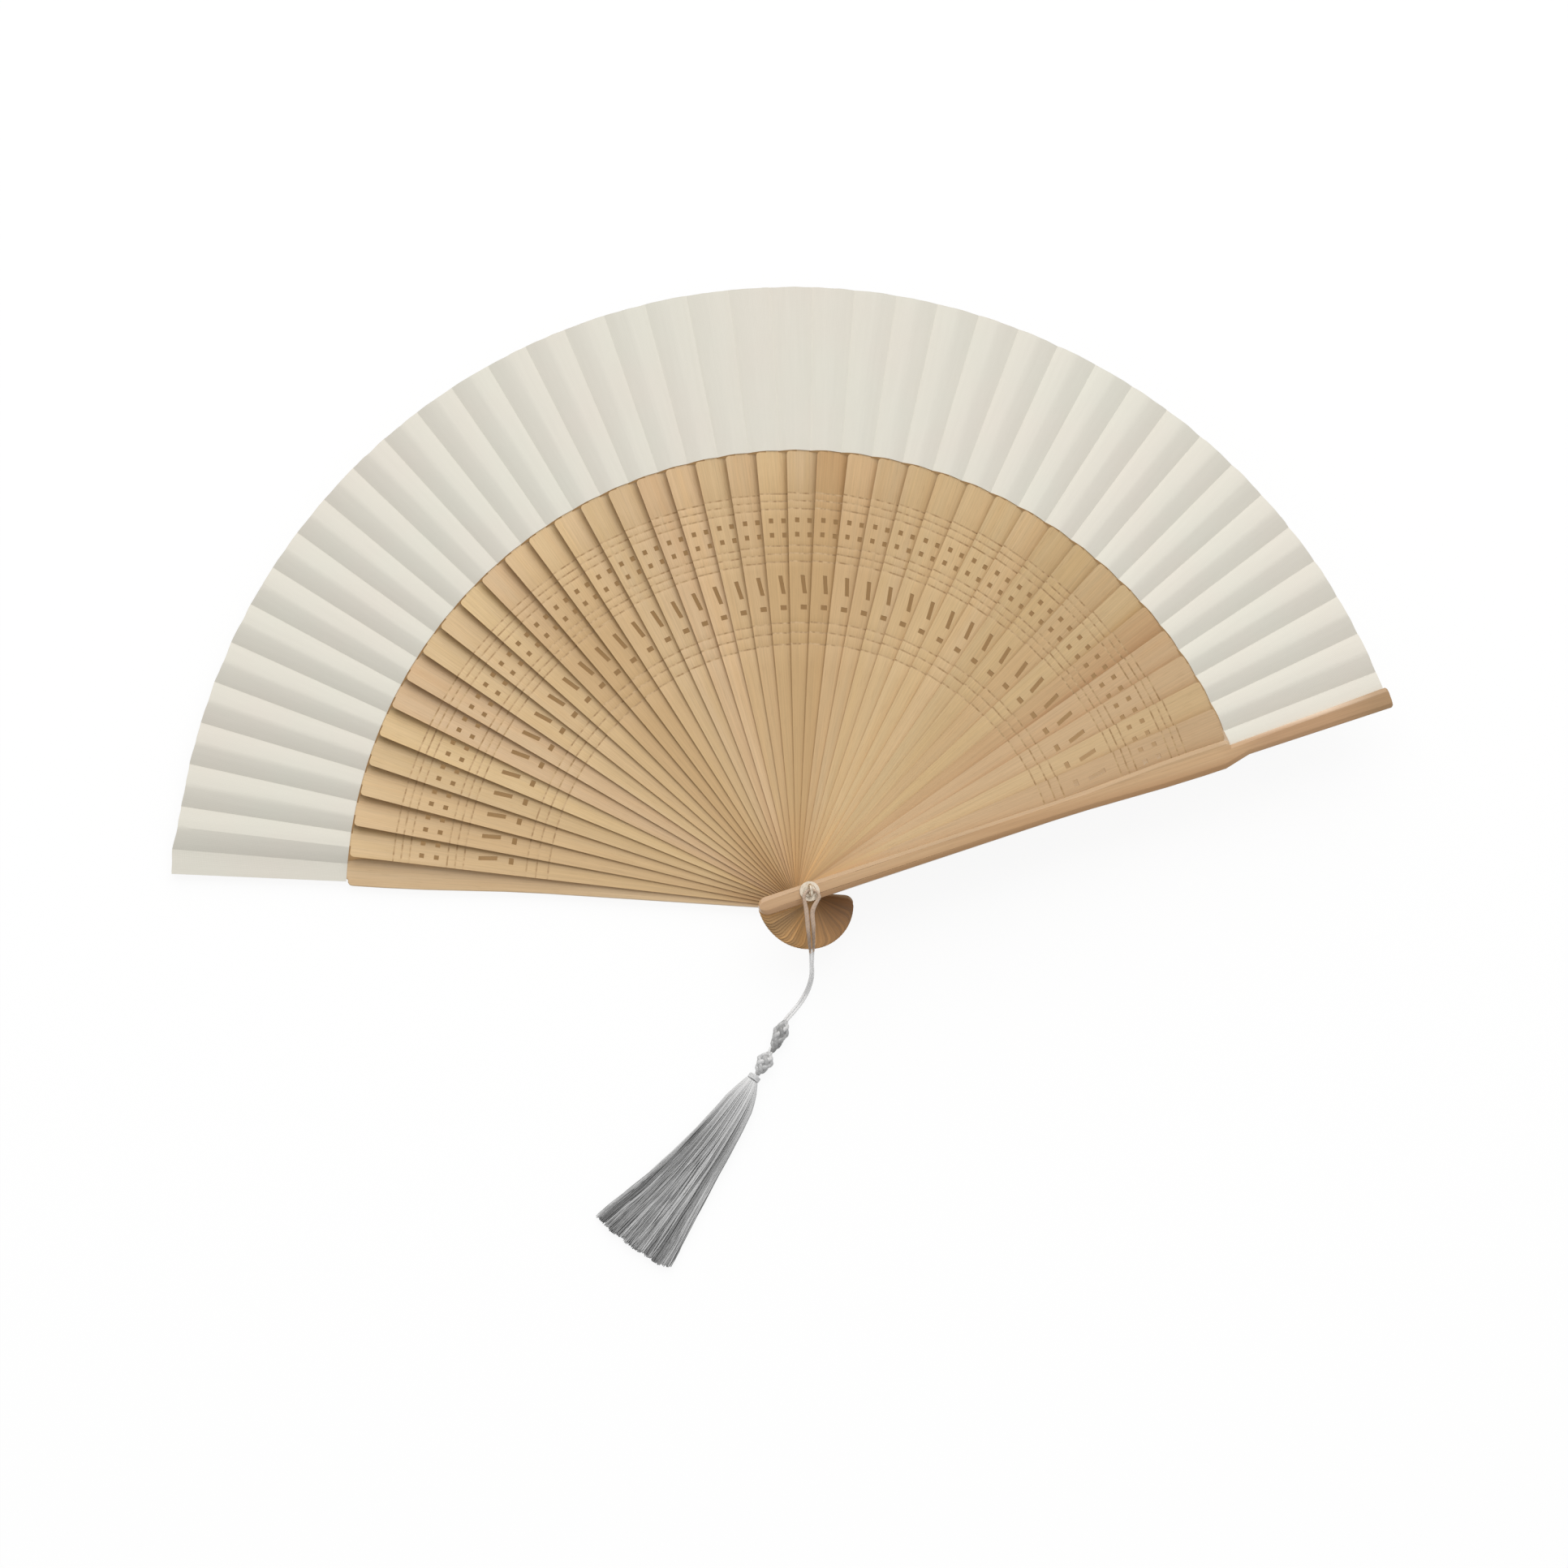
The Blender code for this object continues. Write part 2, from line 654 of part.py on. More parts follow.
def main():
    clear_scene()
    bamboo = material("bamboo", (0.66, 0.45, 0.26), 0.42)
    guard_bamboo = material("guard bamboo", (0.52, 0.31, 0.15), 0.32)
    cloth = material("leaf cloth", (0.80, 0.77, 0.68), 0.85)
    metal = material("pin metal", (0.60, 0.58, 0.54), 0.35, 1.0)
    silk = material("silk thread", (0.42, 0.42, 0.42), 0.5)

    back = make_guard("back_guard", False, guard_bamboo)
    back.location.z = GUARD_Z
    back.rotation_euler.z = OPEN_ANGLE / 2
    front = make_guard("front_guard", True, guard_bamboo)
    front.location.z = FRONT_GUARD_Z
    front.rotation_euler.z = -OPEN_ANGLE / 2
    rib = rib_mesh()
    for number in range(1, RIB_COUNT + 1):
        made = add_object(f"rib_{number:02d}", rib, bamboo)
        made.location.z = FIRST_RIB_Z + (number - 1) * RIB_PITCH
        made.rotation_euler.z = OPEN_ANGLE / 2 - number * STEP_ANGLE

    add_object("leaf", leaf_mesh(), cloth)
    make_pin(metal)
    add_object("pin_washer", washer_mesh(), metal)
    make_strand("cord_left", -1, silk)
    make_strand("cord_right", 1, silk)

    heading = Vector((math.cos(TASSEL_HEADING), math.sin(TASSEL_HEADING), 0))
    knots = (
        ("knot_upper", CORD_ROUTE[-1], UPPER_KNOT_END, UPPER_KNOT_RADIUS),
        ("knot_lower", UPPER_KNOT_END, LOWER_KNOT_END, LOWER_KNOT_RADIUS),
    )
    for name, start, end, radius in knots:
        add_object(name, knot_mesh(name, start, end, radius), silk)
    beside = Vector((-heading.y, heading.x, 0))
    collar_start = Vector((*LOWER_KNOT_END, 0)) + heading * SOFT_GAP - beside * TASSEL_SHIFT
    add_object("tassel_collar", collar_mesh(collar_start, heading), silk)
    skirt_start = collar_start + heading * (COLLAR_LENGTH + SOFT_GAP)
    add_object("tassel_skirt", skirt_mesh(skirt_start, heading), silk)


main()
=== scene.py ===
"""Looks of the folding fan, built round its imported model.

All lengths are metres. In the frame of a rib or a guard, Y runs out along it and X to its
clockwise side, and Z is the pivot's axis.
"""
import json
import math
import random

import bmesh
import bpy
import numpy as np
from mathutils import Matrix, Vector, noise

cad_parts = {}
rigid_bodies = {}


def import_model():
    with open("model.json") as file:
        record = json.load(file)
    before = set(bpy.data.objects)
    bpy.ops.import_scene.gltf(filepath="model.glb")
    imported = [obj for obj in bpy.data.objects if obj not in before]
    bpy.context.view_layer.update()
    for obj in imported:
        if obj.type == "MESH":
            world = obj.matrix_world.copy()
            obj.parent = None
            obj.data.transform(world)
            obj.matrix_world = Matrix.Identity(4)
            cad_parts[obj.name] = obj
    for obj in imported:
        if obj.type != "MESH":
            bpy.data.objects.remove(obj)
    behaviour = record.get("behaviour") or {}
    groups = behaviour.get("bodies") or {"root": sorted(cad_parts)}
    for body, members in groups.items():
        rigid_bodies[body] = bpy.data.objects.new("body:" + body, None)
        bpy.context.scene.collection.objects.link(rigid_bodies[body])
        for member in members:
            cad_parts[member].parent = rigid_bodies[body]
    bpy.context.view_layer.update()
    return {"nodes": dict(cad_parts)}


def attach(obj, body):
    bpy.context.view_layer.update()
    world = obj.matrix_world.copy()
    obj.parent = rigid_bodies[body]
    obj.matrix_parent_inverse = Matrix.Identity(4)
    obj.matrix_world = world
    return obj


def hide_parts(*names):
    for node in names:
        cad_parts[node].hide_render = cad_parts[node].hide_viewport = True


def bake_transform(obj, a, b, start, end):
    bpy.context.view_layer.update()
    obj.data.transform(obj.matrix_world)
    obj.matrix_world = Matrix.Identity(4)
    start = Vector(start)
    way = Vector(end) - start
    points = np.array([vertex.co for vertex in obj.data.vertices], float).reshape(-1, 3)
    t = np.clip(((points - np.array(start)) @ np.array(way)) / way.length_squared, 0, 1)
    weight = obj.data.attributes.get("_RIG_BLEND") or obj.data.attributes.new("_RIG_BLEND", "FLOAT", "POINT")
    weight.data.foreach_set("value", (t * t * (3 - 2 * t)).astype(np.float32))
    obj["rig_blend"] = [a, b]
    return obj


UP = Vector((0, 0, 1))

# Opening of the fan
RIB_COUNT = 39
OPEN_ANGLE = math.radians(158)
STEP_ANGLE = OPEN_ANGLE / (RIB_COUNT + 1)

# Heights of the stack
GUARD_Z = 0.0009
GUARD_THICK = 0.0026
GUARD_THIN = 0.0015
RIB_THICK = 0.00036
RIB_GAP = 0.00012
RIB_PITCH = RIB_THICK + RIB_GAP
FIRST_RIB_Z = GUARD_Z + GUARD_THICK + RIB_GAP
FRONT_GUARD_Z = FIRST_RIB_Z + RIB_COUNT * RIB_PITCH
WASHER_THICK = 0.0005
SEAT_GAP = 0.0001
CAP_HEIGHT = 0.0007
EYE_RADIUS = 0.0016
EYE_WIRE = 0.0005
CAP_Z = FRONT_GUARD_Z + GUARD_THICK + WASHER_THICK + SEAT_GAP * 2
EYE_Z = CAP_Z + CAP_HEIGHT + EYE_RADIUS - EYE_WIRE / 2

# Ribs
LEAF_INNER = 0.1415
LEAF_OUTER = 0.1940
RIB_RIM = LEAF_INNER - 0.0005
RIB_PIVOT_WIDTH = 0.0052
RIB_RIM_WIDTH = 0.0106
RIB_ROUND = 0.0012
RIB_TILT = math.radians(12)
TWIST_START = 0.015
HEAD_REACH = 0.0165
STICK_WIDTH = 0.0040
STICK_TIP_WIDTH = 0.0034
STICK_TIP = 0.188
HOLE_RADIUS = 0.0013
PLATE_COLUMNS = 4
PLATE_STEP = 0.0065
HEAD_SIDES = 16
HOLE_SIDES = 24
CORNER_SIDES = 5
STICK_ROWS = 6
PLACES_PER_METRE = 1e7

# Piercings and scored lines of a rib, placed as shares of the leaf's inner radius
PAIR_ROW_shares = (0.8085, 0.841)
PAIR_SPREAD = 0.0040
PAIR_WIDTH = 0.0014
PAIR_LENGTH = 0.0015
SLOT_shares = (0.676, 0.717)
SLOT_WIDTH = 0.0013
SLOT_SLANT = 0.0007
WINDOW_share = 0.645
WINDOW_WIDTH = 0.0020
WINDOW_LENGTH = 0.0015
SLOT_BAY_shares = (0.628, 0.732)
PAIR_BAY_shares = (0.795, 0.853)
SCORE_shares = (0.562, 0.588, 0.610, 0.748, 0.766, 0.784, 0.867, 0.885, 0.902)
SCORE_WIDTH = 0.00050
SCORE_DEPTH = 0.00005

# Bamboo, with how often each pattern of its grain repeats per metre across, along and through it
FIBRE_SCALE = (2600, 38, 300)
FINE_SCALE = (7000, 150, 300)
FLECK_SCALE = (4200, 210, 300)
PATCH_SCALE = (260, 14, 60)
FLECK_COLOUR = (0.42, 0.26, 0.125)

# Places along a rib or guard between which its varnish changes
HEAD_FADE = (-0.012, 0.030)
HEAD_POLISH = (-0.016, 0.0)
STAIN_FADE = (0.108, 0.138)
STRIP_FADE = (RIB_RIM - 0.004, RIB_RIM + 0.012)
TIP_FADE = (0.174, 0.190)

# Varnish of the ribs, which varies in level and in yellow, and its shares in the warmer patches
RIB_COLOUR = (0.665, 0.470, 0.262)
RIB_LEVELS = (0.95, 1.04)
RIB_YELLOW = 0.010
RIB_ROUGHNESS = 0.42
WARM_RED_share = 0.985
WARM_GREEN_shares = (0.925, 0.965)
WARM_BLUE_share = 0.87
# ribs that stand out, each with its colour and its warmer patches
ODD_RIBS = {
    23: ((0.57, 0.355, 0.165), (0.54, 0.325, 0.145)),
    35: ((0.62, 0.41, 0.215), (0.57, 0.350, 0.175)),
}
# ribs with fainter patches, and how far these fade into the rib's colour
EVEN_RIBS = (37, 38, 39)
EVEN_share = 0.7
# groups of ribs with a deeper varnish inside the rim: the middle rib's number and how deep it is
STAIN_COLOUR = (0.565, 0.368, 0.172)
STAINED_RIBS = ((2, 0.5), (12, 1.2), (22, 1.2))
STAIN_REACH = 3.5

# Varnish of the heads, on the undermost rib and on the uppermost, with painted shade that darkens
# the lower ribs' heads, and how much it varies
HEAD_DARK = (0.37, 0.165, 0.048)
HEAD_PALE = (0.70, 0.405, 0.150)
HEAD_UNEVEN = 0.25
HEAD_AMOUNT = 0.93
# a painted shadow of the front guard on a group of heads: the middle rib's number, how many ribs
# it reaches and how dark it is
GUARD_SHADOW_ON_HEADS = (36, 5, 0.40)

# Guards, each with its colour and its warmer patches
BACK_GUARD_COLOURS = ((0.70, 0.505, 0.30), (0.66, 0.45, 0.245))
FRONT_GUARD_COLOURS = ((0.60, 0.395, 0.215), (0.53, 0.32, 0.16))
GUARD_HEAD = (0.58, 0.35, 0.20)
GUARD_HEAD_AMOUNT = 0.35
GUARD_ROUGHNESS = 0.34
GUARD_WELD = 0.00001
GUARD_EDGE = 0.00022
# the front guard's counter-clockwise bevel, painted darker to offset the window's light on it, its
# clockwise side with painted shade, its strip beside the leaf, that strip's bevel with a painted
# highlight, and the strip's tip
FRONT_GUARD_CROWN_SHADING = (
    (0.50, 0.325, 0.170),
    (0.45, 0.255, 0.120),
    (0.49, 0.290, 0.155),
    (0.78, 0.60, 0.45),
    (0.41, 0.250, 0.125),
)
# places along the guard, and half of its width at each
CROWN_SPAN = (0.06, 0.14)
CROWN_HALVES = (0.0028, 0.0043)

# Leaf
PANEL_share = 0.5
LEAF_COVER = 0.0043
LEAF_INSET = 0.0020
CLOTH_THICK = 0.00012
CLOTH_LIFT = 0.00008
CLOTH_COLUMNS = 8
CLOTH_ROWS = 24
# how high a panel bulges, glued to a rib or free between two
RIB_CROWN = 0.00018
FREE_CROWN = 0.00027
# how far the cloth strays in height, and how quickly it does round and out
CLOTH_WAVE = 0.00003
WAVE_RATES = (30, 40)
WAVE_SEED = 5.1
# how far the outer edge strays: frayed, out at every second fold, and out beside the back guard
CLOTH_EDGE = 0.00020
EDGE_RATES = (46, 3)
EDGE_SEED = 1.7
CLOTH_ZIGZAG = 0.00035
CLOTH_TURN = 0.0012
CLOTH_TURN_FOLDS = (2.8, 1.0)
WEAVE_SCALE = 900.0
SLUB_SCALE = (900, 45, 1)

# Cord
CORD_RADIUS = 0.0005
CORD_BIGHT = 0.0024
CORD_STEP = 0.0005
CORD_SIDES = 12
CORD_YARNS = 3
CORD_LAY = 1900.0
CORD_GROOVE = 0.12
CORD_IN_SKIRT = 0.0090
BIGHT_STEPS = 8
CURVE_STEPS = 20
SOFT_GAP = 0.0003
# places on the cord's route, each with half the distance between its two strands
CORD_ROUTE = (
    (-0.0012, -0.0062, 0.0274, 0.00098),
    (-0.0015, -0.0110, 0.0268, 0.00085),
    (-0.0018, -0.0155, 0.0264, 0.00068),
    (-0.0020, -0.0188, 0.0248, 0.00047),
    (-0.0018, -0.0209, 0.0205, 0.00042),
    (-0.0012, -0.0221, 0.0145, 0.00042),
    (-0.0006, -0.0234, 0.0085, 0.00042),
    (-0.0006, -0.0252, 0.0036, 0.00042),
    (-0.0017, -0.0278, 0.0011, 0.00042),
    (-0.0038, -0.0306, 0.0008, 0.00042),
    (-0.0064, -0.0332, 0.0009, 0.00042),
    (-0.0084, -0.0349, 0.0016, 0.00042),
    (-0.0097, -0.0361, 0.0024, 0.00042),
)
# shares of a strand's length, each with the strand's share of CORD_RADIUS
STRAND_radius_shares = ((0.0, 1.0), (0.19, 1.0), (0.25, 0.72), (0.36, 0.72), (0.46, 0.80),
                        (0.60, 0.86), (1.0, 0.86))
# and with how many times wider than high it is
STRAND_wide_shares = ((0.0, 1.0), (0.04, 1.05), (0.09, 1.5), (0.14, 1.4), (0.18, 1.1),
                      (0.24, 1.0), (1.0, 1.0))
# and with its painted light and shade, from deep at 0 to pale at 1: a painted shadow where it
# crosses the heads, and painted lighter and darker stretches below them
STRAND_painted_shade_shares = ((0.0, 0.30), (0.10, 0.32), (0.14, 0.30), (0.17, 0.10), (0.22, 0.08),
                       (0.24, 0.6), (0.25, 1.0), (0.44, 1.0), (0.53, 0.60), (0.595, 0.95),
                       (0.66, 0.7), (1.0, 0.7))

# Knots
UPPER_KNOT_END = (-0.0158, -0.0460)
UPPER_KNOT_RADIUS = 0.0024
LOWER_KNOT_END = (-0.0206, -0.0529)
LOWER_KNOT_RADIUS = 0.0026
LOWER_KNOT_SHIFT = 0.0011
KNOT_WIDE = 1.08
KNOT_TURNS = 0.7
KNOT_CORD = 0.0007
KNOT_CORDS = 4
KNOT_CORD_SIDES = 10
KNOT_CORD_STEPS = 96
KNOT_LAY = 2000.0
KNOT_GROOVE = 0.10
KNOT_CORE = 0.0003
KNOT_CORE_SIDES = 16
KNOT_CORE_STEPS = 24
# shares of a knot's length, each with its share of the knot's radius
KNOT_profile_shares = ((0.0, 0.30), (0.08, 0.62), (0.20, 0.90), (0.34, 1.0), (0.54, 0.90),
                       (0.72, 0.68), (0.88, 0.45), (1.0, 0.28))

# Tassel
TASSEL_HEADING = math.radians(226.3)
TASSEL_SHIFT = 0.0013
COLLAR_LENGTH = 0.0016
COLLAR_RADIUS = 0.0022
COLLAR_CORE_share = 0.82
COLLAR_CORE_SIDES = 24
COLLAR_CORE_STEPS = 6
COLLAR_WINDING_share = 0.84
COLLAR_TURNS = 4.5
COLLAR_STEPS = 180
COLLAR_SIDES = 8
SKIRT_LENGTH = 0.0635
SKIRT_HEM_WIDTH = 0.0272
SKIRT_HEIGHT = 0.0056
SKIRT_BOW = 0.0015
SKIRT_LEAN = 0.0008
SKIRT_ROUND = 0.0012
# shares of the skirt's length, each with its share of the hem's width
SKIRT_width_shares = ((0.0, 0.155), (0.06, 0.265), (0.13, 0.355), (0.32, 0.47), (0.53, 0.60),
                      (0.74, 0.76), (0.9, 0.93), (1.0, 1.0))
# and with its share of the skirt's height
SKIRT_height_shares = ((0.0, 0.72), (0.06, 0.95), (0.13, 1.0), (0.32, 0.90), (0.53, 0.74),
                       (0.74, 0.62), (0.9, 0.52), (1.0, 0.46))
THREAD_COUNT = 900
THREAD_RADIUS = 0.00017
THREAD_SIDES = 5
THREAD_STEPS = 22
# how far a thread's drawn values vary: its pull to its lock, drift, reach, shade and waves
THREAD_PULLS = (0.15, 0.55)
THREAD_DRIFT = 0.03
THREAD_REACHES = (-0.010, 0.004)
THREAD_SHADE = 0.12
THREAD_WAVES = 2
THREAD_WAVE_SIZES = (0.00008, 0.00045)
THREAD_WAVE_RATES = (1.2, 4.5)
THREAD_WAVE_PHASES = (0, 6.28)
LOCK_COUNT = 40
LOCK_SHADES = (0.15, 0.95)
LOCK_REACHES = (-0.008, 0.006)
# the threads' painted highlight at the tassel's top, and how much darker they turn along the hem
TOP_HIGHLIGHT = 1.05
HEM_SHADE = 0.13
HEM_START_share = 0.75

# Light
WORLD_LIGHT = 0.515
WINDOW_POWER = 23.0
WINDOW_COLOUR = (1.0, 0.995, 0.985)
WINDOW_TURN = math.radians(4)
WINDOW_FAR = 1.22
WINDOW_HIGH = 1.04
WINDOW_SIZE = 2.0
WINDOW_AIM = (0, 0.06, 0)

# Floor, white but for a faint shadow, with a painted warm shade under the fan
FLOOR_HALF = 4.0
FLOOR_DROP = 0.0001
FLOOR_SHADOW = 0.10
FLOOR_LIT = (1.1, 1.1, 1.1)
FLOOR_BOUNCE = (0.80, 0.80, 0.80)
SHADE_REACH = 0.12
SHADE_SAMPLES = 24
PAINTED_SHADE_PALE = (0.53, 0.335, 0.160)
PAINTED_SHADE_DEEP = (0.31, 0.180, 0.075)
# openness between which the painted shade turns from deep to pale, and from pale to white
SHADE_DEPTHS = (0.04, 0.36)
SHADE_ENDS = (0.36, 0.52)
# distances from the pivot between which the painted shade ends under the leaf
SHADE_RIM = (0.150, 0.194)
# places towards the front guard, and how wide the painted shade's edge is at each
SHADE_EDGE_SPAN = (0.0, 0.06)
SHADE_EDGE_WIDTHS = (0.001, 0.006)
SHADE_EDGE_START = -0.001

# Camera
CAMERA_PLACE = (-0.2165, -0.1848, 1.5509)
CAMERA_TURN = (9.131, -6.735, -8.149)
CAMERA_LENS = 115.77
CAMERA_SENSOR = 36


def between(start, end, share):
    return start + (end - start) * share


def straight_share(low, high, value):
    """How far a value is from low to high, which may be the greater, kept between 0 and 1."""
    return min(1.0, max(0.0, (value - low) / (high - low)))


def rib_angle(number):
    """A rib's turn about the pivot, where 0 is the back guard and the last is the front guard."""
    return OPEN_ANGLE / 2 - number * STEP_ANGLE


def link(name, data):
    made = bpy.data.objects.new(name, data)
    bpy.context.scene.collection.objects.link(made)
    return made


def mesh_from(bm, name, sharp):
    """A mesh shaded smooth, except at edges sharper than so many degrees."""
    mesh = bpy.data.meshes.new(name)
    bm.to_mesh(mesh)
    bm.free()
    mesh.shade_smooth()
    mesh.set_sharp_from_angle(angle=math.radians(sharp))
    return mesh


# Materials
class Graph:
    """A tree of shader nodes, with short ways to add and link them."""

    def __init__(self, tree):
        self.tree = tree

    def put(self, node, key, value):
        """Sets an input, or links another node's output to it."""
        socket = node.inputs[key] if isinstance(key, int) else node.inputs[key.replace("_", " ")]
        if isinstance(value, bpy.types.NodeSocket):
            self.tree.links.new(value, socket)
        elif isinstance(value, (tuple, list)) and len(value) == 3 and socket.type == "RGBA":
            socket.default_value = (*value, 1.0)
        else:
            socket.default_value = value

    def node(self, kind, settings=None, **inputs):
        made = self.tree.nodes.new("ShaderNode" + kind)
        for key, value in (settings or {}).items():
            setattr(made, key, value)
        for key, value in inputs.items():
            self.put(made, key, value)
        return made

    def maths(self, operation, a, b=0.0):
        made = self.node("Math", {"operation": operation})
        self.put(made, 0, a)
        self.put(made, 1, b)
        return made.outputs[0]

    def mix(self, factor, a, b, kind="MIX"):
        made = self.node("Mix", {"data_type": "RGBA", "blend_type": kind})
        self.put(made, 0, factor)
        self.put(made, 6, a)
        self.put(made, 7, b)
        return made.outputs[2]

    def mix_shaders(self, factor, a, b):
        made = self.node("MixShader", Fac=factor)
        self.put(made, 1, a.outputs[0])
        self.put(made, 2, b.outputs[0])
        return made

    def ranged(self, value, low, high, to_low=0.0, to_high=1.0):
        made = self.node("MapRange", {"clamp": True}, Value=value)
        for key, number in enumerate((low, high, to_low, to_high), 1):
            self.put(made, key, number)
        return made.outputs[0]

    def looking(self):
        """1 for the rays that see the surface, straight or in a gloss or glass, and else 0."""
        rays = self.node("LightPath").outputs
        return self.maths("MAXIMUM", rays["Is Camera Ray"],
                          self.maths("MAXIMUM", rays["Is Glossy Ray"], rays["Is Transmission Ray"]))

    def place(self, turn=0.0, scale=(1, 1, 1), shift=(0, 0, 0), coordinates="Object"):
        """Coordinates turned back about Z, moved and scaled."""
        source = self.node("TexCoord").outputs[coordinates]
        turned = self.node("Mapping", {"vector_type": "POINT"}, Vector=source,
                           Rotation=(0, 0, -turn))
        return self.node("Mapping", {"vector_type": "POINT"}, Vector=turned.outputs[0],
                         Scale=scale, Location=shift).outputs[0]

    def noise(self, vector, detail, roughness=0.5):
        made = self.node("TexNoise", Vector=vector, Scale=1.0, Detail=detail,
                         Roughness=roughness)
        return made.outputs["Fac"]


class Finish(Graph):
    """A material's node tree round one Principled shader."""

    def __init__(self, name, **shader):
        self.material = bpy.data.materials.new(name)
        self.material.use_nodes = True
        super().__init__(self.material.node_tree)
        self.shader = self.tree.nodes["Principled BSDF"]
        for key, value in shader.items():
            self.put(self.shader, key, value)

    def colour(self, value):
        self.put(self.shader, "Base_Color", value)

    def roughness(self, value):
        self.put(self.shader, "Roughness", value)

    def bump(self, height, strength, distance):
        made = self.node("Bump", Height=height, Strength=strength, Distance=distance)
        self.put(self.shader, "Normal", made.outputs[0])


def crowned_and_shaded(g, tone, place, fibres, crown):
    """A guard's tone with painted light and shade: its bevel darkened against the window's light, painted
    shade on its side, its strip with a painted highlight on the strip's bevel, and the strip's tip.
    """
    bevel, side, strip, strip_highlight, tip = crown
    across = g.maths("DIVIDE", place["X"], g.ranged(place["Y"], *CROWN_SPAN, *CROWN_HALVES))
    uneven = g.maths("ADD", across, g.ranged(fibres, 0.2, 0.8, -0.12, 0.12))
    # painted: the counter-clockwise bevel is darkened against the window's light on it
    tone = g.mix(g.ranged(uneven, -0.66, -0.50, 1.0, 0.0), tone, bevel)
    # painted shade on the clockwise side
    tone = g.mix(g.ranged(uneven, 0.20, 0.80), tone, side)
    # painted highlight on the strip's bevel
    highlighted_strip = g.mix(g.ranged(uneven, -0.70, -0.45, 1.0, 0.0), strip, strip_highlight)
    tone = g.mix(g.ranged(place["Y"], *STRIP_FADE, 0.0, 0.85), tone, highlighted_strip)
    return g.mix(g.ranged(place["Y"], *TIP_FADE, 0.0, 0.9), tone, tip)


def bamboo(name, colour, warm, seed, head, head_amount, roughness, turn=0.0, crown=None,
           stain=0.0):
    """Split bamboo: long fibres, faint flecks, slow changes of tone, darker towards the head."""
    g = Finish(name, Specular_IOR_Level=0.45)
    shift = (seed * 0.37, seed * 0.61, seed * 0.13)
    fibres = g.noise(g.place(turn, FIBRE_SCALE, shift), detail=4, roughness=0.62)
    fine = g.noise(g.place(turn, FINE_SCALE, shift), detail=2)
    flecks = g.noise(g.place(turn, FLECK_SCALE, shift), detail=1)
    patches = g.noise(g.place(turn, PATCH_SCALE, shift), detail=2)
    tone = g.mix(g.ranged(patches, 0.32, 0.68), colour, warm)
    place = g.node("SeparateXYZ", Vector=g.place(turn)).outputs
    if stain:
        tone = g.mix(g.ranged(place["Y"], *STAIN_FADE, stain, 0.0), tone, STAIN_COLOUR)
    if crown:
        tone = crowned_and_shaded(g, tone, place, fibres, crown)
    streak = g.ranged(fibres, 0.25, 0.75, 0.87, 1.07)
    streaks = g.node("CombineColor", Red=streak, Green=g.maths("MULTIPLY", streak, 0.995),
                     Blue=g.maths("MULTIPLY", streak, 0.975)).outputs[0]
    streaked = g.mix(1.0, tone, streaks, "MULTIPLY")
    flecked = g.mix(g.ranged(flecks, 0.62, 0.74, 0.0, 0.30), streaked, FLECK_COLOUR)
    # towards the head the colour turns to the head's, which on the ribs holds painted shade
    g.colour(g.mix(g.ranged(place["Y"], *HEAD_FADE, head_amount, 0.0), flecked, head))
    gloss = g.ranged(fine, 0.2, 0.8, roughness - 0.07, roughness + 0.10)
    polished = g.ranged(place["Y"], *HEAD_POLISH, 0.6, 1.0)
    g.roughness(g.maths("MULTIPLY", gloss, polished))
    relief = g.maths("ADD", g.maths("MULTIPLY", fibres, 0.7), g.maths("MULTIPLY", fine, 0.3))
    g.bump(relief, 0.5, 0.00006)
    return g.material


def cloth():
    """Fine plain weave with thread lines, faint slubs and a soft sheen."""
    g = Finish("leaf cloth", Specular_IOR_Level=0.25, Sheen_Weight=0.12, Sheen_Roughness=0.5)
    threads = [
        g.node("TexWave", {"wave_type": "BANDS", "bands_direction": way},
               Vector=g.place(coordinates="UV"), Scale=WEAVE_SCALE, Distortion=0.6,
               Detail=1.0).outputs["Fac"]
        for way in ("X", "Y")
    ]
    weave = g.maths("MULTIPLY", *threads)
    slub = g.noise(g.place(scale=SLUB_SCALE, coordinates="UV"), detail=3)
    patch = g.noise(g.place(scale=(34, 34, 34), coordinates="UV"), detail=2)
    pale = g.mix(g.ranged(patch, 0.3, 0.7), (0.785, 0.740, 0.655), (0.775, 0.755, 0.665))
    lined = g.mix(g.ranged(slub, 0.3, 0.7, 0.0, 0.14), pale, (0.65, 0.62, 0.54))
    g.colour(g.mix(g.ranged(weave, 0.0, 0.5, 0.10, 0.0), lined, (0.58, 0.55, 0.49)))
    g.roughness(g.ranged(slub, 0.2, 0.8, 0.78, 0.9))
    g.bump(g.maths("ADD", weave, g.maths("MULTIPLY", slub, 0.8)), 0.25, 0.00005)
    return g.material


def burnt():
    """The scorched wall of a piercing."""
    g = Finish("scorched bamboo", Specular_IOR_Level=0.1, Roughness=0.85)
    grain = g.noise(g.place(scale=(2600, 900, 2600)), detail=3)
    g.colour(g.mix(grain, (0.32, 0.175, 0.065), (0.51, 0.305, 0.135)))
    g.bump(grain, 0.4, 0.00005)
    return g.material


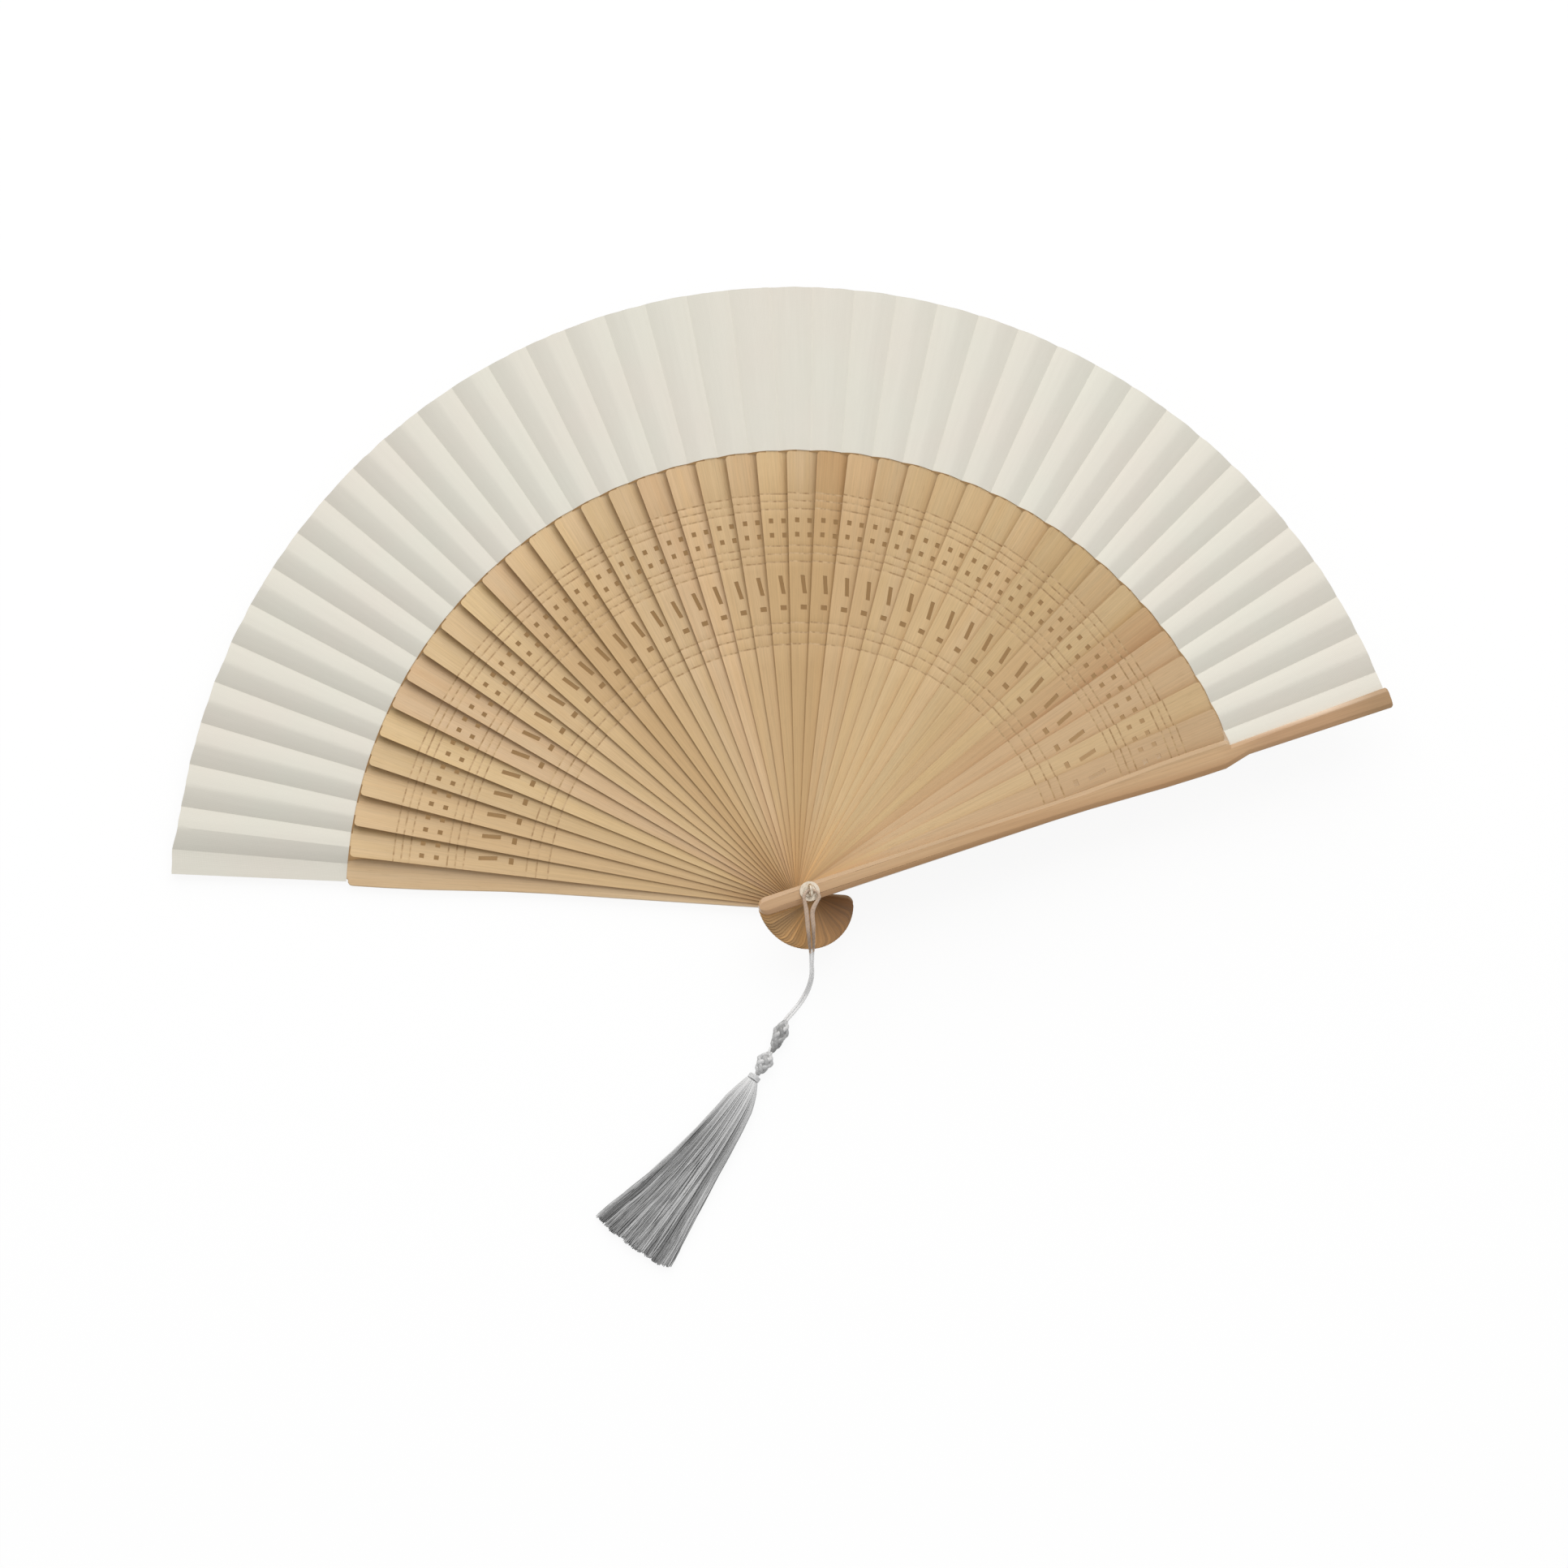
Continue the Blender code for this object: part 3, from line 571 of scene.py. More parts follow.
def scored():
    """The floor of a scored line, scorched in soft dashes that differ from rib to rib."""
    g = Finish("scored bamboo", Specular_IOR_Level=0.25, Roughness=0.6)
    own = g.maths("MULTIPLY", g.node("ObjectInfo").outputs["Random"], 50.0)
    moved = g.node("VectorMath")
    g.put(moved, 0, g.place(scale=(700, 260, 700)))
    g.put(moved, 1, g.node("CombineXYZ", X=own, Y=own).outputs[0])
    grain = g.noise(moved.outputs[0], detail=2)
    g.colour(g.mix(g.ranged(grain, 0.34, 0.62), (0.39, 0.240, 0.112), (0.62, 0.43, 0.235)))
    return g.material


def metal():
    """Dull plated metal with fine wear."""
    g = Finish("plated metal", Metallic=1.0)
    wear = g.noise(g.place(scale=(900, 900, 900)), detail=4)
    g.colour(g.mix(g.ranged(wear, 0.35, 0.7), (0.66, 0.58, 0.47), (0.46, 0.39, 0.31)))
    g.roughness(g.ranged(wear, 0.3, 0.7, 0.24, 0.46))
    g.bump(wear, 0.2, 0.00004)
    return g.material


def silk(name, pale, deep, roughness=0.34, uneven=0.10, warm=None, glow=0.0):
    """Satin thread whose tone comes from each piece's shade attribute, which holds its own tone and painted
    light and shade, and warms where that is low.
    """
    g = Finish(name, Specular_IOR_Level=0.6, Sheen_Weight=0.25, Sheen_Roughness=0.35,
               Roughness=roughness, Subsurface_Weight=glow, Subsurface_Radius=(1, 1, 1),
               Subsurface_Scale=0.0008)
    shade = g.node("Attribute", {"attribute_name": "shade"}).outputs["Fac"]
    fine = g.noise(g.place(scale=(1500, 1500, 1500)), detail=2)
    tone = g.maths("ADD", shade, g.ranged(fine, 0.3, 0.7, -uneven, uneven))
    colour = g.mix(tone, deep, pale)
    if warm:
        tan = g.mix(g.ranged(tone, 0.0, 0.30), *warm)
        colour = g.mix(g.ranged(tone, 0.34, 0.48), tan, colour)
    g.colour(colour)
    g.bump(fine, 0.3, 0.00006)
    return g.material


# Ribs
def rib_half_width(along):
    return between(RIB_PIVOT_WIDTH, RIB_RIM_WIDTH, straight_share(0, RIB_RIM, along)) / 2


def rib_slope(along):
    """How steeply the twisted rib falls to its clockwise side."""
    return math.tan(RIB_TILT) * straight_share(TWIST_START, RIB_RIM - RIB_ROUND, along)


def rectangle(across, along, width, length, slant=0.0):
    half, reach = width / 2, length / 2
    return [
        (across - half + slant / 2, along - reach),
        (across + half + slant / 2, along - reach),
        (across + half - slant / 2, along + reach),
        (across - half - slant / 2, along + reach),
    ]


def slot_piercings():
    low, high = (LEAF_INNER * share for share in SLOT_shares)
    window = rectangle(0, LEAF_INNER * WINDOW_share, WINDOW_WIDTH, WINDOW_LENGTH)
    return [rectangle(0, (low + high) / 2, SLOT_WIDTH, high - low, SLOT_SLANT), window]


def pair_piercings():
    return [
        rectangle(side * PAIR_SPREAD / 2, LEAF_INNER * share, PAIR_WIDTH, PAIR_LENGTH)
        for share in PAIR_ROW_shares
        for side in (-1, 1)
    ]


def ring(radius, sides):
    turn = 2 * math.pi / sides
    return [(radius * math.cos(turn * n), radius * math.sin(turn * n)) for n in range(sides)]


def score_lines():
    return [LEAF_INNER * share for share in SCORE_shares]


def exact(length):
    """A length as a whole number, so that a point is found again by its place."""
    return round(length * PLACES_PER_METRE)


class Plate:
    """A flat plate drawn in bays, then raised to its thickness and twisted."""

    def __init__(self):
        self.bm = bmesh.new()
        self.made = {}

    def vert(self, point):
        key = (exact(point[0]), exact(point[1]))
        if key not in self.made:
            self.made[key] = self.bm.verts.new((point[0], point[1], 0))
        return self.made[key]

    def bay(self, outline, piercings=()):
        edges = []
        for loop in (outline, *piercings):
            points = [self.vert(point) for point in loop]
            for a, b in zip(points, points[1:] + points[:1]):
                edges.append(self.bm.edges.get((a, b)) or self.bm.edges.new((a, b)))
        bmesh.ops.triangle_fill(self.bm, use_beauty=True, use_dissolve=False, edges=edges)

    def strip(self, low, high):
        """Faces between two rows of points, with as many points each."""
        for (a, b), (d, c) in zip(zip(low, low[1:]), zip(high, high[1:])):
            self.bm.faces.new([self.vert(p) for p in (a, b, c, d)])


def row(along):
    half = rib_half_width(along)
    return [(between(-half, half, n / PLATE_COLUMNS), along) for n in range(PLATE_COLUMNS + 1)]


def draw_bays(plate):
    """The plate from the head to the rim, with its piercings and rows for its scored lines."""
    slots = [LEAF_INNER * share for share in SLOT_BAY_shares]
    pairs = [LEAF_INNER * share for share in PAIR_BAY_shares]
    fixed = {TWIST_START, *slots, *pairs, RIB_RIM - RIB_ROUND}
    for score in score_lines():
        fixed |= {score - SCORE_WIDTH / 2, score, score + SCORE_WIDTH / 2}
    fixed = sorted(fixed)
    cuts = {slots[0]: slot_piercings(), pairs[0]: pair_piercings()}
    for start, end in zip(fixed, fixed[1:]):
        if start in cuts:
            plate.bay([*row(start), *reversed(row(end))], cuts[start])
            continue
        steps = max(1, round((end - start) / PLATE_STEP))
        for n in range(steps):
            plate.strip(row(between(start, end, n / steps)),
                        row(between(start, end, (n + 1) / steps)))


def draw_head(plate):
    """The head, straight at its sides and round at its end, with the pin's hole."""
    half = RIB_PIVOT_WIDTH / 2
    centre = half - HEAD_REACH
    arc = [(half * math.cos(t), centre - half * math.sin(t))
           for t in (math.pi * n / HEAD_SIDES for n in range(HEAD_SIDES + 1))]
    plate.bay([(-half, 0), *arc[::-1], (half, 0), *reversed(row(TWIST_START))],
              [ring(HOLE_RADIUS, HOLE_SIDES)])


def draw_rim(plate):
    """The rim's round corners, and the stick that runs on under the leaf."""
    half = rib_half_width(RIB_RIM - RIB_ROUND)
    corner = [(half - RIB_ROUND * (1 - math.cos(t)), RIB_RIM - RIB_ROUND * (1 - math.sin(t)))
              for t in (math.pi / 2 * n / CORNER_SIDES for n in range(1, CORNER_SIDES + 1))]
    stick, tip = STICK_WIDTH / 2, STICK_TIP_WIDTH / 2
    rim = [*corner, (stick, RIB_RIM), (-stick, RIB_RIM), *((-x, y) for x, y in reversed(corner))]
    plate.bay([*row(RIB_RIM - RIB_ROUND), *rim])
    rows = []
    for n in range(STICK_ROWS + 1):
        side = between(stick, tip, n / STICK_ROWS)
        along = between(RIB_RIM, STICK_TIP, n / STICK_ROWS)
        rows.append([(-side, along), (side, along)])
    for low, high in zip(rows, rows[1:]):
        plate.strip(low, high)


def rib_mesh():
    """A rib with its piercings, scored lines, stick and twist."""
    plate = Plate()
    draw_bays(plate)
    draw_head(plate)
    draw_rim(plate)
    bm = plate.bm
    top = bmesh.ops.extrude_face_region(bm, geom=bm.faces[:])["geom"]
    lowered = {exact(score) for score in score_lines()}
    for v in top:
        if isinstance(v, bmesh.types.BMVert):
            sunk = SCORE_DEPTH if exact(v.co.y) in lowered else 0.0
            v.co.z += RIB_THICK - sunk
    bmesh.ops.recalc_face_normals(bm, faces=bm.faces[:])
    inside = [p for loop in (*slot_piercings(), *pair_piercings()) for p in loop]
    walls = {(exact(x), exact(y)) for x, y in inside}
    for face in bm.faces:
        keys = [(exact(v.co.x), exact(v.co.y)) for v in face.verts]
        upper = face.calc_center_median().z > RIB_THICK / 2
        if len(set(keys)) == 2 and all(key in walls for key in keys):
            face.material_index = 1
        elif upper and any(key[1] in lowered for key in keys):
            face.material_index = 2
    for v in bm.verts:
        v.co.z -= rib_slope(v.co.y) * v.co.x
    return mesh_from(bm, "rib", 32)


def rib_tone(number, rng):
    """A rib's colour and its warmer patches, which vary a little from rib to rib."""
    level = rng.uniform(*RIB_LEVELS)
    yellow = rng.uniform(-RIB_YELLOW, RIB_YELLOW)
    red, green, blue = RIB_COLOUR
    colour = (red * level, (green + yellow) * level, (blue - yellow / 2) * level)
    warm = (colour[0] * WARM_RED_share, colour[1] * rng.uniform(*WARM_GREEN_shares),
            colour[2] * WARM_BLUE_share)
    colour, warm = ODD_RIBS.get(number, (colour, warm))
    if number in EVEN_RIBS:
        warm = tuple(between(a, b, EVEN_share) for a, b in zip(warm, colour))
    return colour, warm


def head_tone(number, rng):
    """A head's varnish with painted shade: paler from the undermost rib to the uppermost, and darker under
    the front guard's painted shadow.
    """
    middle, reach, shadow_depth = GUARD_SHADOW_ON_HEADS
    tint = rng.uniform(1 - HEAD_UNEVEN, 1 + HEAD_UNEVEN)
    # painted shadow of the front guard, deepest on the group's middle rib
    tint *= 1 - shadow_depth * max(0, 1 - abs(number - middle) / reach)
    # painted shade: the lower a rib, the more of the dark head colour it takes
    share = number / RIB_COUNT
    return tuple(between(a, b, share) * tint for a, b in zip(HEAD_DARK, HEAD_PALE))


def rib_stain(number):
    """How much of the deeper varnish a rib has."""
    deepest = max(deep * (1 - abs(number - middle) / STAIN_REACH) for middle, deep in STAINED_RIBS)
    return min(1.0, max(0.0, deepest))


def make_ribs():
    mesh = rib_mesh()
    # the first slot is filled by each rib's own bamboo
    for kind in (burnt(), burnt(), scored()):
        mesh.materials.append(kind)
    rng = random.Random(11)
    for number in range(1, RIB_COUNT + 1):
        name = f"rib_{number:02d}"
        piece = link(f"{name}_pierced", mesh)
        piece.location.z = FIRST_RIB_Z + (number - 1) * RIB_PITCH
        piece.rotation_euler.z = rib_angle(number)
        colour, warm = rib_tone(number, rng)
        head = head_tone(number, rng)
        piece.material_slots[0].link = "OBJECT"
        piece.material_slots[0].material = bamboo(
            f"bamboo of rib {number}", colour, warm, number, head, HEAD_AMOUNT, RIB_ROUGHNESS,
            stain=rib_stain(number))
        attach(piece, name)
        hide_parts(name)


# Guards
def dress_guards(frame):
    """Varnish on both guards, with their edges softened."""
    for name, turn, seed, colours, crown in (
            ("back_guard", rib_angle(0), 71, BACK_GUARD_COLOURS, None),
            ("front_guard", rib_angle(RIB_COUNT + 1), 83, FRONT_GUARD_COLOURS, FRONT_GUARD_CROWN_SHADING)):
        guard = frame["nodes"][name]
        weld = guard.modifiers.new("weld", "WELD")
        weld.merge_threshold = GUARD_WELD
        whole = guard.modifiers.new("whole faces", "DECIMATE")
        whole.decimate_type = "DISSOLVE"
        whole.angle_limit = math.radians(0.5)
        soft = guard.modifiers.new("soft edges", "BEVEL")
        soft.width = GUARD_EDGE
        soft.segments = 3
        soft.limit_method = "ANGLE"
        soft.angle_limit = math.radians(15)
        soft.harden_normals = False
        even = guard.modifiers.new("even shading", "WEIGHTED_NORMAL")
        even.mode = "FACE_AREA"
        even.weight = 80
        guard.data.shade_smooth()
        guard.data.materials.clear()
        guard.data.materials.append(bamboo(
            f"varnished bamboo of {name}", *colours, seed, GUARD_HEAD, GUARD_HEAD_AMOUNT,
            GUARD_ROUGHNESS, turn=turn, crown=crown))


# Pin
def dress_pin(frame):
    """Plated metal on the pin and its washer."""
    finish = metal()
    for name in ("pivot_pin", "pin_washer"):
        node = frame["nodes"][name]
        node.data.materials.clear()
        node.data.materials.append(finish)


# Leaf
def panel_lines():
    """Fold lines as (angle clockwise from +Y, rib number, angle beside the rib)."""
    half = STEP_ANGLE * PANEL_share / 2
    lines = []
    for number in range(RIB_COUNT + 2):
        middle = number * STEP_ANGLE - OPEN_ANGLE / 2
        before = half if number else LEAF_COVER / LEAF_OUTER
        after = half if number <= RIB_COUNT else LEAF_INSET / LEAF_OUTER
        lines += [(middle - before, number, -before), (middle + after, number, after)]
    return lines


def cloth_height(number, beside, radius):
    """Height of the cloth's underside over a rib's stick, or over or under a guard's strip."""
    if number == 0:
        return GUARD_Z + GUARD_THIN + CLOTH_LIFT
    if number == RIB_COUNT + 1:
        return FRONT_GUARD_Z + (GUARD_THICK - GUARD_THIN) - CLOTH_LIFT - CLOTH_THICK
    rib_z = FIRST_RIB_Z + (number - 1) * RIB_PITCH
    return rib_z + RIB_THICK + CLOTH_LIFT - math.tan(RIB_TILT) * radius * math.sin(beside)


def cloth_reach(place, angle, radius):
    """How far out a point of the cloth lies, strayed the most at its outer edge."""
    out = straight_share(LEAF_INNER, LEAF_OUTER, radius)
    ragged = noise.noise((angle * EDGE_RATES[0], out * EDGE_RATES[1], EDGE_SEED))
    strayed = CLOTH_EDGE * ragged * out**2
    strayed += CLOTH_ZIGZAG * (1 - abs(place % 2 - 1)) * out**2
    strayed += CLOTH_TURN * straight_share(*CLOTH_TURN_FOLDS, place) * out**6
    return radius + strayed


def cloth_wave(angle, radius):
    """How far a point of the cloth lies above its panel."""
    out = straight_share(LEAF_INNER, LEAF_OUTER, radius)
    wavy = noise.noise((angle * WAVE_RATES[0], radius * WAVE_RATES[1], WAVE_SEED))
    return abs(CLOTH_WAVE * wavy * (0.4 + out))


def leaf_mesh():
    """The leaf's underside as one strip, whose folds are a little rounded.

    Each point holds its part of the fan's turn, which goes from 0 to 1 in one step for each rib.
    """
    lines = panel_lines()
    last = len(lines) - 2
    columns = [n + k / CLOTH_COLUMNS for n in range(last + 1) for k in range(CLOTH_COLUMNS)]
    columns.append(last + 1.0)
    radii = [between(LEAF_INNER, LEAF_OUTER, n / CLOTH_ROWS) for n in range(CLOTH_ROWS + 1)]
    heights = {r: [cloth_height(number, beside, r) for _, number, beside in lines] for r in radii}

    def height(low, share, radius):
        """The zigzag's height, where each panel between two folds is crowned."""
        bulge = FREE_CROWN if low % 2 else RIB_CROWN
        crown = 4 * share * (1 - share) * radius / LEAF_OUTER * bulge
        if low in (0, last):
            crown = 0.0
        return between(heights[radius][low], heights[radius][low + 1], share) + crown

    bm = bmesh.new()
    under, weights, flat = [], [], []
    for place in columns:
        low = min(int(place), last)
        share = place - low
        (angle, number, _), (next_angle, next_number, _) = lines[low:low + 2]
        angle = between(angle, next_angle, share)
        weight = between(number / (RIB_COUNT + 1), next_number / (RIB_COUNT + 1), share)
        loop = []
        for radius in radii:
            reach = cloth_reach(place, angle, radius)
            z = height(low, share, radius) + cloth_wave(angle, radius)
            loop.append(bm.verts.new((reach * math.sin(angle), reach * math.cos(angle), z)))
            weights.append(weight)
            flat.append((place * STEP_ANGLE / 2 * between(LEAF_INNER, LEAF_OUTER, 0.5), radius))
        under.append(loop)
    for a, b in zip(under, under[1:]):
        for n in range(CLOTH_ROWS):
            bm.faces.new((a[n], b[n], b[n + 1], a[n + 1]))
    bm.verts.index_update()
    uv = bm.loops.layers.uv.new("UVMap")
    for face in bm.faces:
        for corner in face.loops:
            corner[uv].uv = flat[corner.vert.index]
    bmesh.ops.recalc_face_normals(bm, faces=bm.faces[:])
    if sum(face.normal.z for face in bm.faces) < 0:
        bmesh.ops.reverse_faces(bm, faces=bm.faces[:])
    mesh = bpy.data.meshes.new("leaf_cloth")
    bm.to_mesh(mesh)
    bm.free()
    attribute = mesh.attributes.new("part_of_turn", "FLOAT", "POINT")
    attribute.data.foreach_set("value", weights)
    return mesh


def make_leaf():
    """The pleated leaf, whose glued panels turn with their ribs as the fan closes."""
    piece = link("leaf_cloth", leaf_mesh())
    piece.data.materials.append(cloth())
    thick = piece.modifiers.new("thickness", "SOLIDIFY")
    thick.thickness = CLOTH_THICK
    thick.offset = 1.0
    bpy.context.view_layer.update()
    depsgraph = bpy.context.evaluated_depsgraph_get()
    solid = bpy.data.meshes.new_from_object(piece.evaluated_get(depsgraph))
    piece.modifiers.clear()
    piece.data = solid
    solid.shade_smooth()
    solid.set_sharp_from_angle(angle=math.radians(18))
    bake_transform(piece, "back_guard", "front_guard", start=(-LEAF_INNER, 0, 0), end=(LEAF_INNER, 0, 0))
    share = np.zeros(len(solid.vertices), np.float32)
    solid.attributes["part_of_turn"].data.foreach_get("value", share)
    solid.attributes["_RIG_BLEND"].data.foreach_set("value", share)
    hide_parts("leaf")
    opened = OPEN_ANGLE * leaf_stretch()


def leaf_stretch():
    """How much wider the flat strip is than the open fan, at the middle of the leaf."""
    radius = between(LEAF_INNER, LEAF_OUTER, 0.5)
    lines = panel_lines()
    flat = 0.0
    for (a, number, beside), (b, following, beside_next) in zip(lines, lines[1:]):
        rise = cloth_height(following, beside_next, radius) - cloth_height(number, beside, radius)
        flat += math.hypot(radius * (b - a), rise)
    return flat / (radius * (lines[-1][0] - lines[0][0]))


# Cord, knots and tassel
def smooth_line(points, step):
    """A smooth curve through the points, cut into even steps."""
    ends = [points[0] * 2 - points[1], *points, points[-1] * 2 - points[-2]]
    fine = []
    for a, b, c, d in zip(ends, ends[1:], ends[2:], ends[3:]):
        for n in range(CURVE_STEPS):
            t = n / CURVE_STEPS
            fine.append((
                b * 2 + (c - a) * t + (a * 2 - b * 5 + c * 4 - d) * t**2
                + (b * 3 - a - c * 3 + d) * t**3
            ) / 2)
    fine.append(points[-1])
    lengths = [0.0]
    for a, b in zip(fine, fine[1:]):
        lengths.append(lengths[-1] + (b - a).length)
    count = max(2, round(lengths[-1] / step))
    line, here = [fine[0]], 0
    for n in range(1, count):
        wanted = lengths[-1] * n / count
        while lengths[here + 1] < wanted:
            here += 1
        share = (wanted - lengths[here]) / (lengths[here + 1] - lengths[here])
        line.append(fine[here].lerp(fine[here + 1], share))
    return [*line, fine[-1]]


def strand_line(side):
    """One strand's middle: half of the bight through the eye, then beside the other strand."""
    start = math.asin(SOFT_GAP / 2 / CORD_BIGHT)
    bight = []
    for n in range(BIGHT_STEPS + 1):
        turn = between(start, math.pi / 2, n / BIGHT_STEPS)
        bight.append(Vector((side * CORD_BIGHT * math.sin(turn),
                             CORD_BIGHT * (math.cos(turn) - 1), EYE_Z)))
    route = [Vector(place[:3]) for place in CORD_ROUTE]
    points = [bight[-1]]
    for n, point in enumerate(route):
        ahead = route[min(n + 1, len(route) - 1)] - route[max(n - 1, 0)]
        beside = Vector((-ahead.y, ahead.x, 0)).normalized()
        points.append(point + beside * side * CORD_ROUTE[n][3])
    return bight[:-1] + smooth_line(points, CORD_STEP)


def sweep(bm, line, radius, sides, shade, wide=None, lay=0.0, groove=0.0):
    """A tube along a line, round or with grooves between twisted yarns, whose shade is lowered in the
    grooves as painted shade.

    Its radius and shade are numbers, or functions of the share of its length. So is wide, how
    many times wider than high it is, and it then lies with its width level.
    """
    layer = bm.verts.layers.float.get("shade") or bm.verts.layers.float.new("shade")
    normal = None
    rings, travelled = [], 0.0
    last = len(line) - 1
    for n, point in enumerate(line):
        ahead = (line[min(n + 1, last)] - line[max(n - 1, 0)]).normalized()
        if wide:
            normal = UP if abs(ahead.z) < 0.8 else normal
        elif normal is None:
            normal = ahead.orthogonal().normalized()
        normal = (normal - ahead * normal.dot(ahead)).normalized()
        across = ahead.cross(normal)
        if n:
            travelled += (point - line[n - 1]).length
        size = radius(n / last) if callable(radius) else radius
        stretch = wide(n / last) if wide else 1.0
        tone = shade(n / last) if callable(shade) else shade
        here = []
        for k in range(sides):
            turn = 2 * math.pi * k / sides
            sunk = groove * (1 - abs(math.cos(CORD_YARNS / 2 * (turn + travelled * lay))))
            v = bm.verts.new(point + (normal * math.cos(turn) + across * math.sin(turn) * stretch)
                             * size * (1 - sunk))
            # painted shade in the grooves between the yarns
            v[layer] = tone - sunk
            here.append(v)
        rings.append(here)
    for a, b in zip(rings, rings[1:]):
        for k in range(sides):
            j = (k + 1) % sides
            bm.faces.new((a[k], a[j], b[j], b[k]))
    bm.faces.new(rings[0][::-1])
    bm.faces.new(rings[-1])


def soft_piece(name, node, bm, finish, sharp=60):
    """A silk piece that rides on the back guard's body and stands for a CAD node."""
    bmesh.ops.recalc_face_normals(bm, faces=bm.faces[:])
    mesh = mesh_from(bm, name, sharp)
    mesh.materials.append(finish)
    piece = link(name, mesh)
    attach(piece, "back_guard")
    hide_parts(node)
    return piece


def lengthwise(start, end):
    """The frame of a piece that lies from start to end on the ground."""
    line = Vector((end[0] - start[0], end[1] - start[1], 0)).normalized()
    return Vector((start[0], start[1], 0)), line, Vector((-line.y, line.x, 0))


def table_at(table, share, eased=False):
    """A value between the rows of a table, along straight lines or along eased ones."""
    for (a, x), (b, y) in zip(table, table[1:]):
        if share <= b:
            t = straight_share(a, b, share)
            return between(x, y, t * t * (3 - 2 * t) if eased else t)
    return table[-1][1]


def make_knot(name, node, start, end, radius, finish, shades, painted_end_shade):
    """A knot: cords wound both ways over and under each other round a core."""
    origin, line, beside = lengthwise(start, end)
    length = math.dist(start[:2], end[:2]) - SOFT_GAP
    origin += line * SOFT_GAP

    def wide_at(share):
        return radius * table_at(KNOT_profile_shares, share, eased=True)

    def at(share, turn, inwards):
        reach = max(0.0, wide_at(share) - inwards)
        return (origin + line * length * share + UP * radius
                + (beside * math.cos(turn) * KNOT_WIDE + UP * math.sin(turn)) * reach)

    bm = bmesh.new()
    steps = KNOT_CORE_STEPS
    core = [origin + line * length * n / steps + UP * radius for n in range(steps + 1)]
    sweep(bm, core, lambda s: max(KNOT_CORE, wide_at(s) - KNOT_CORD), KNOT_CORE_SIDES,
          shades[0] * 0.6)
    steps = KNOT_CORD_STEPS
    for way in (1, -1):
        for number in range(KNOT_CORDS):
            phase = 2 * math.pi * number / KNOT_CORDS
            # painted light and shade: each cord's tone lies between the two shades by its number, and
            # darkens towards the knot's end
            tone = between(*shades, abs(2 * number / KNOT_CORDS - 1))
            path = []
            for n in range(steps + 1):
                s = between(0.03, 0.97, n / steps)
                turn = phase + way * 2 * math.pi * KNOT_TURNS * s
                under = 0.5 + 0.5 * way * math.cos(2 * math.pi * KNOT_CORDS * KNOT_TURNS * s)
                path.append(at(s, turn, KNOT_CORD * (1.0 + 0.6 * under)))
            sweep(bm, path, lambda s: KNOT_CORD * (1.1 - 0.5 * abs(2 * s - 1) ** 3),
                  KNOT_CORD_SIDES, lambda s, tone=tone: tone * between(1.1, painted_end_shade, s),
                  lay=KNOT_LAY, groove=KNOT_GROOVE)
    return soft_piece(name, node, bm, finish)


def make_collar(start, heading, finish):
    """The thread wound round the tassel's top."""
    origin, line, beside = lengthwise(start, start + heading)
    thread = COLLAR_LENGTH / 10
    bm = bmesh.new()
    core = [origin + line * COLLAR_LENGTH * n / COLLAR_CORE_STEPS + UP * COLLAR_RADIUS
            for n in range(COLLAR_CORE_STEPS + 1)]
    sweep(bm, core, COLLAR_RADIUS * COLLAR_CORE_share, COLLAR_CORE_SIDES, 0.9)
    path = []
    for n in range(COLLAR_STEPS + 1):
        turn = 2 * math.pi * COLLAR_TURNS * n / COLLAR_STEPS
        along = between(thread, COLLAR_LENGTH - thread, n / COLLAR_STEPS)
        path.append(origin + line * along + UP * COLLAR_RADIUS
                    + (beside * math.cos(turn) + UP * math.sin(turn))
                    * COLLAR_RADIUS * COLLAR_WINDING_share)
    sweep(bm, path, thread, COLLAR_SIDES, 1.1)
    return soft_piece("tassel_winding", "tassel_collar", bm, finish)


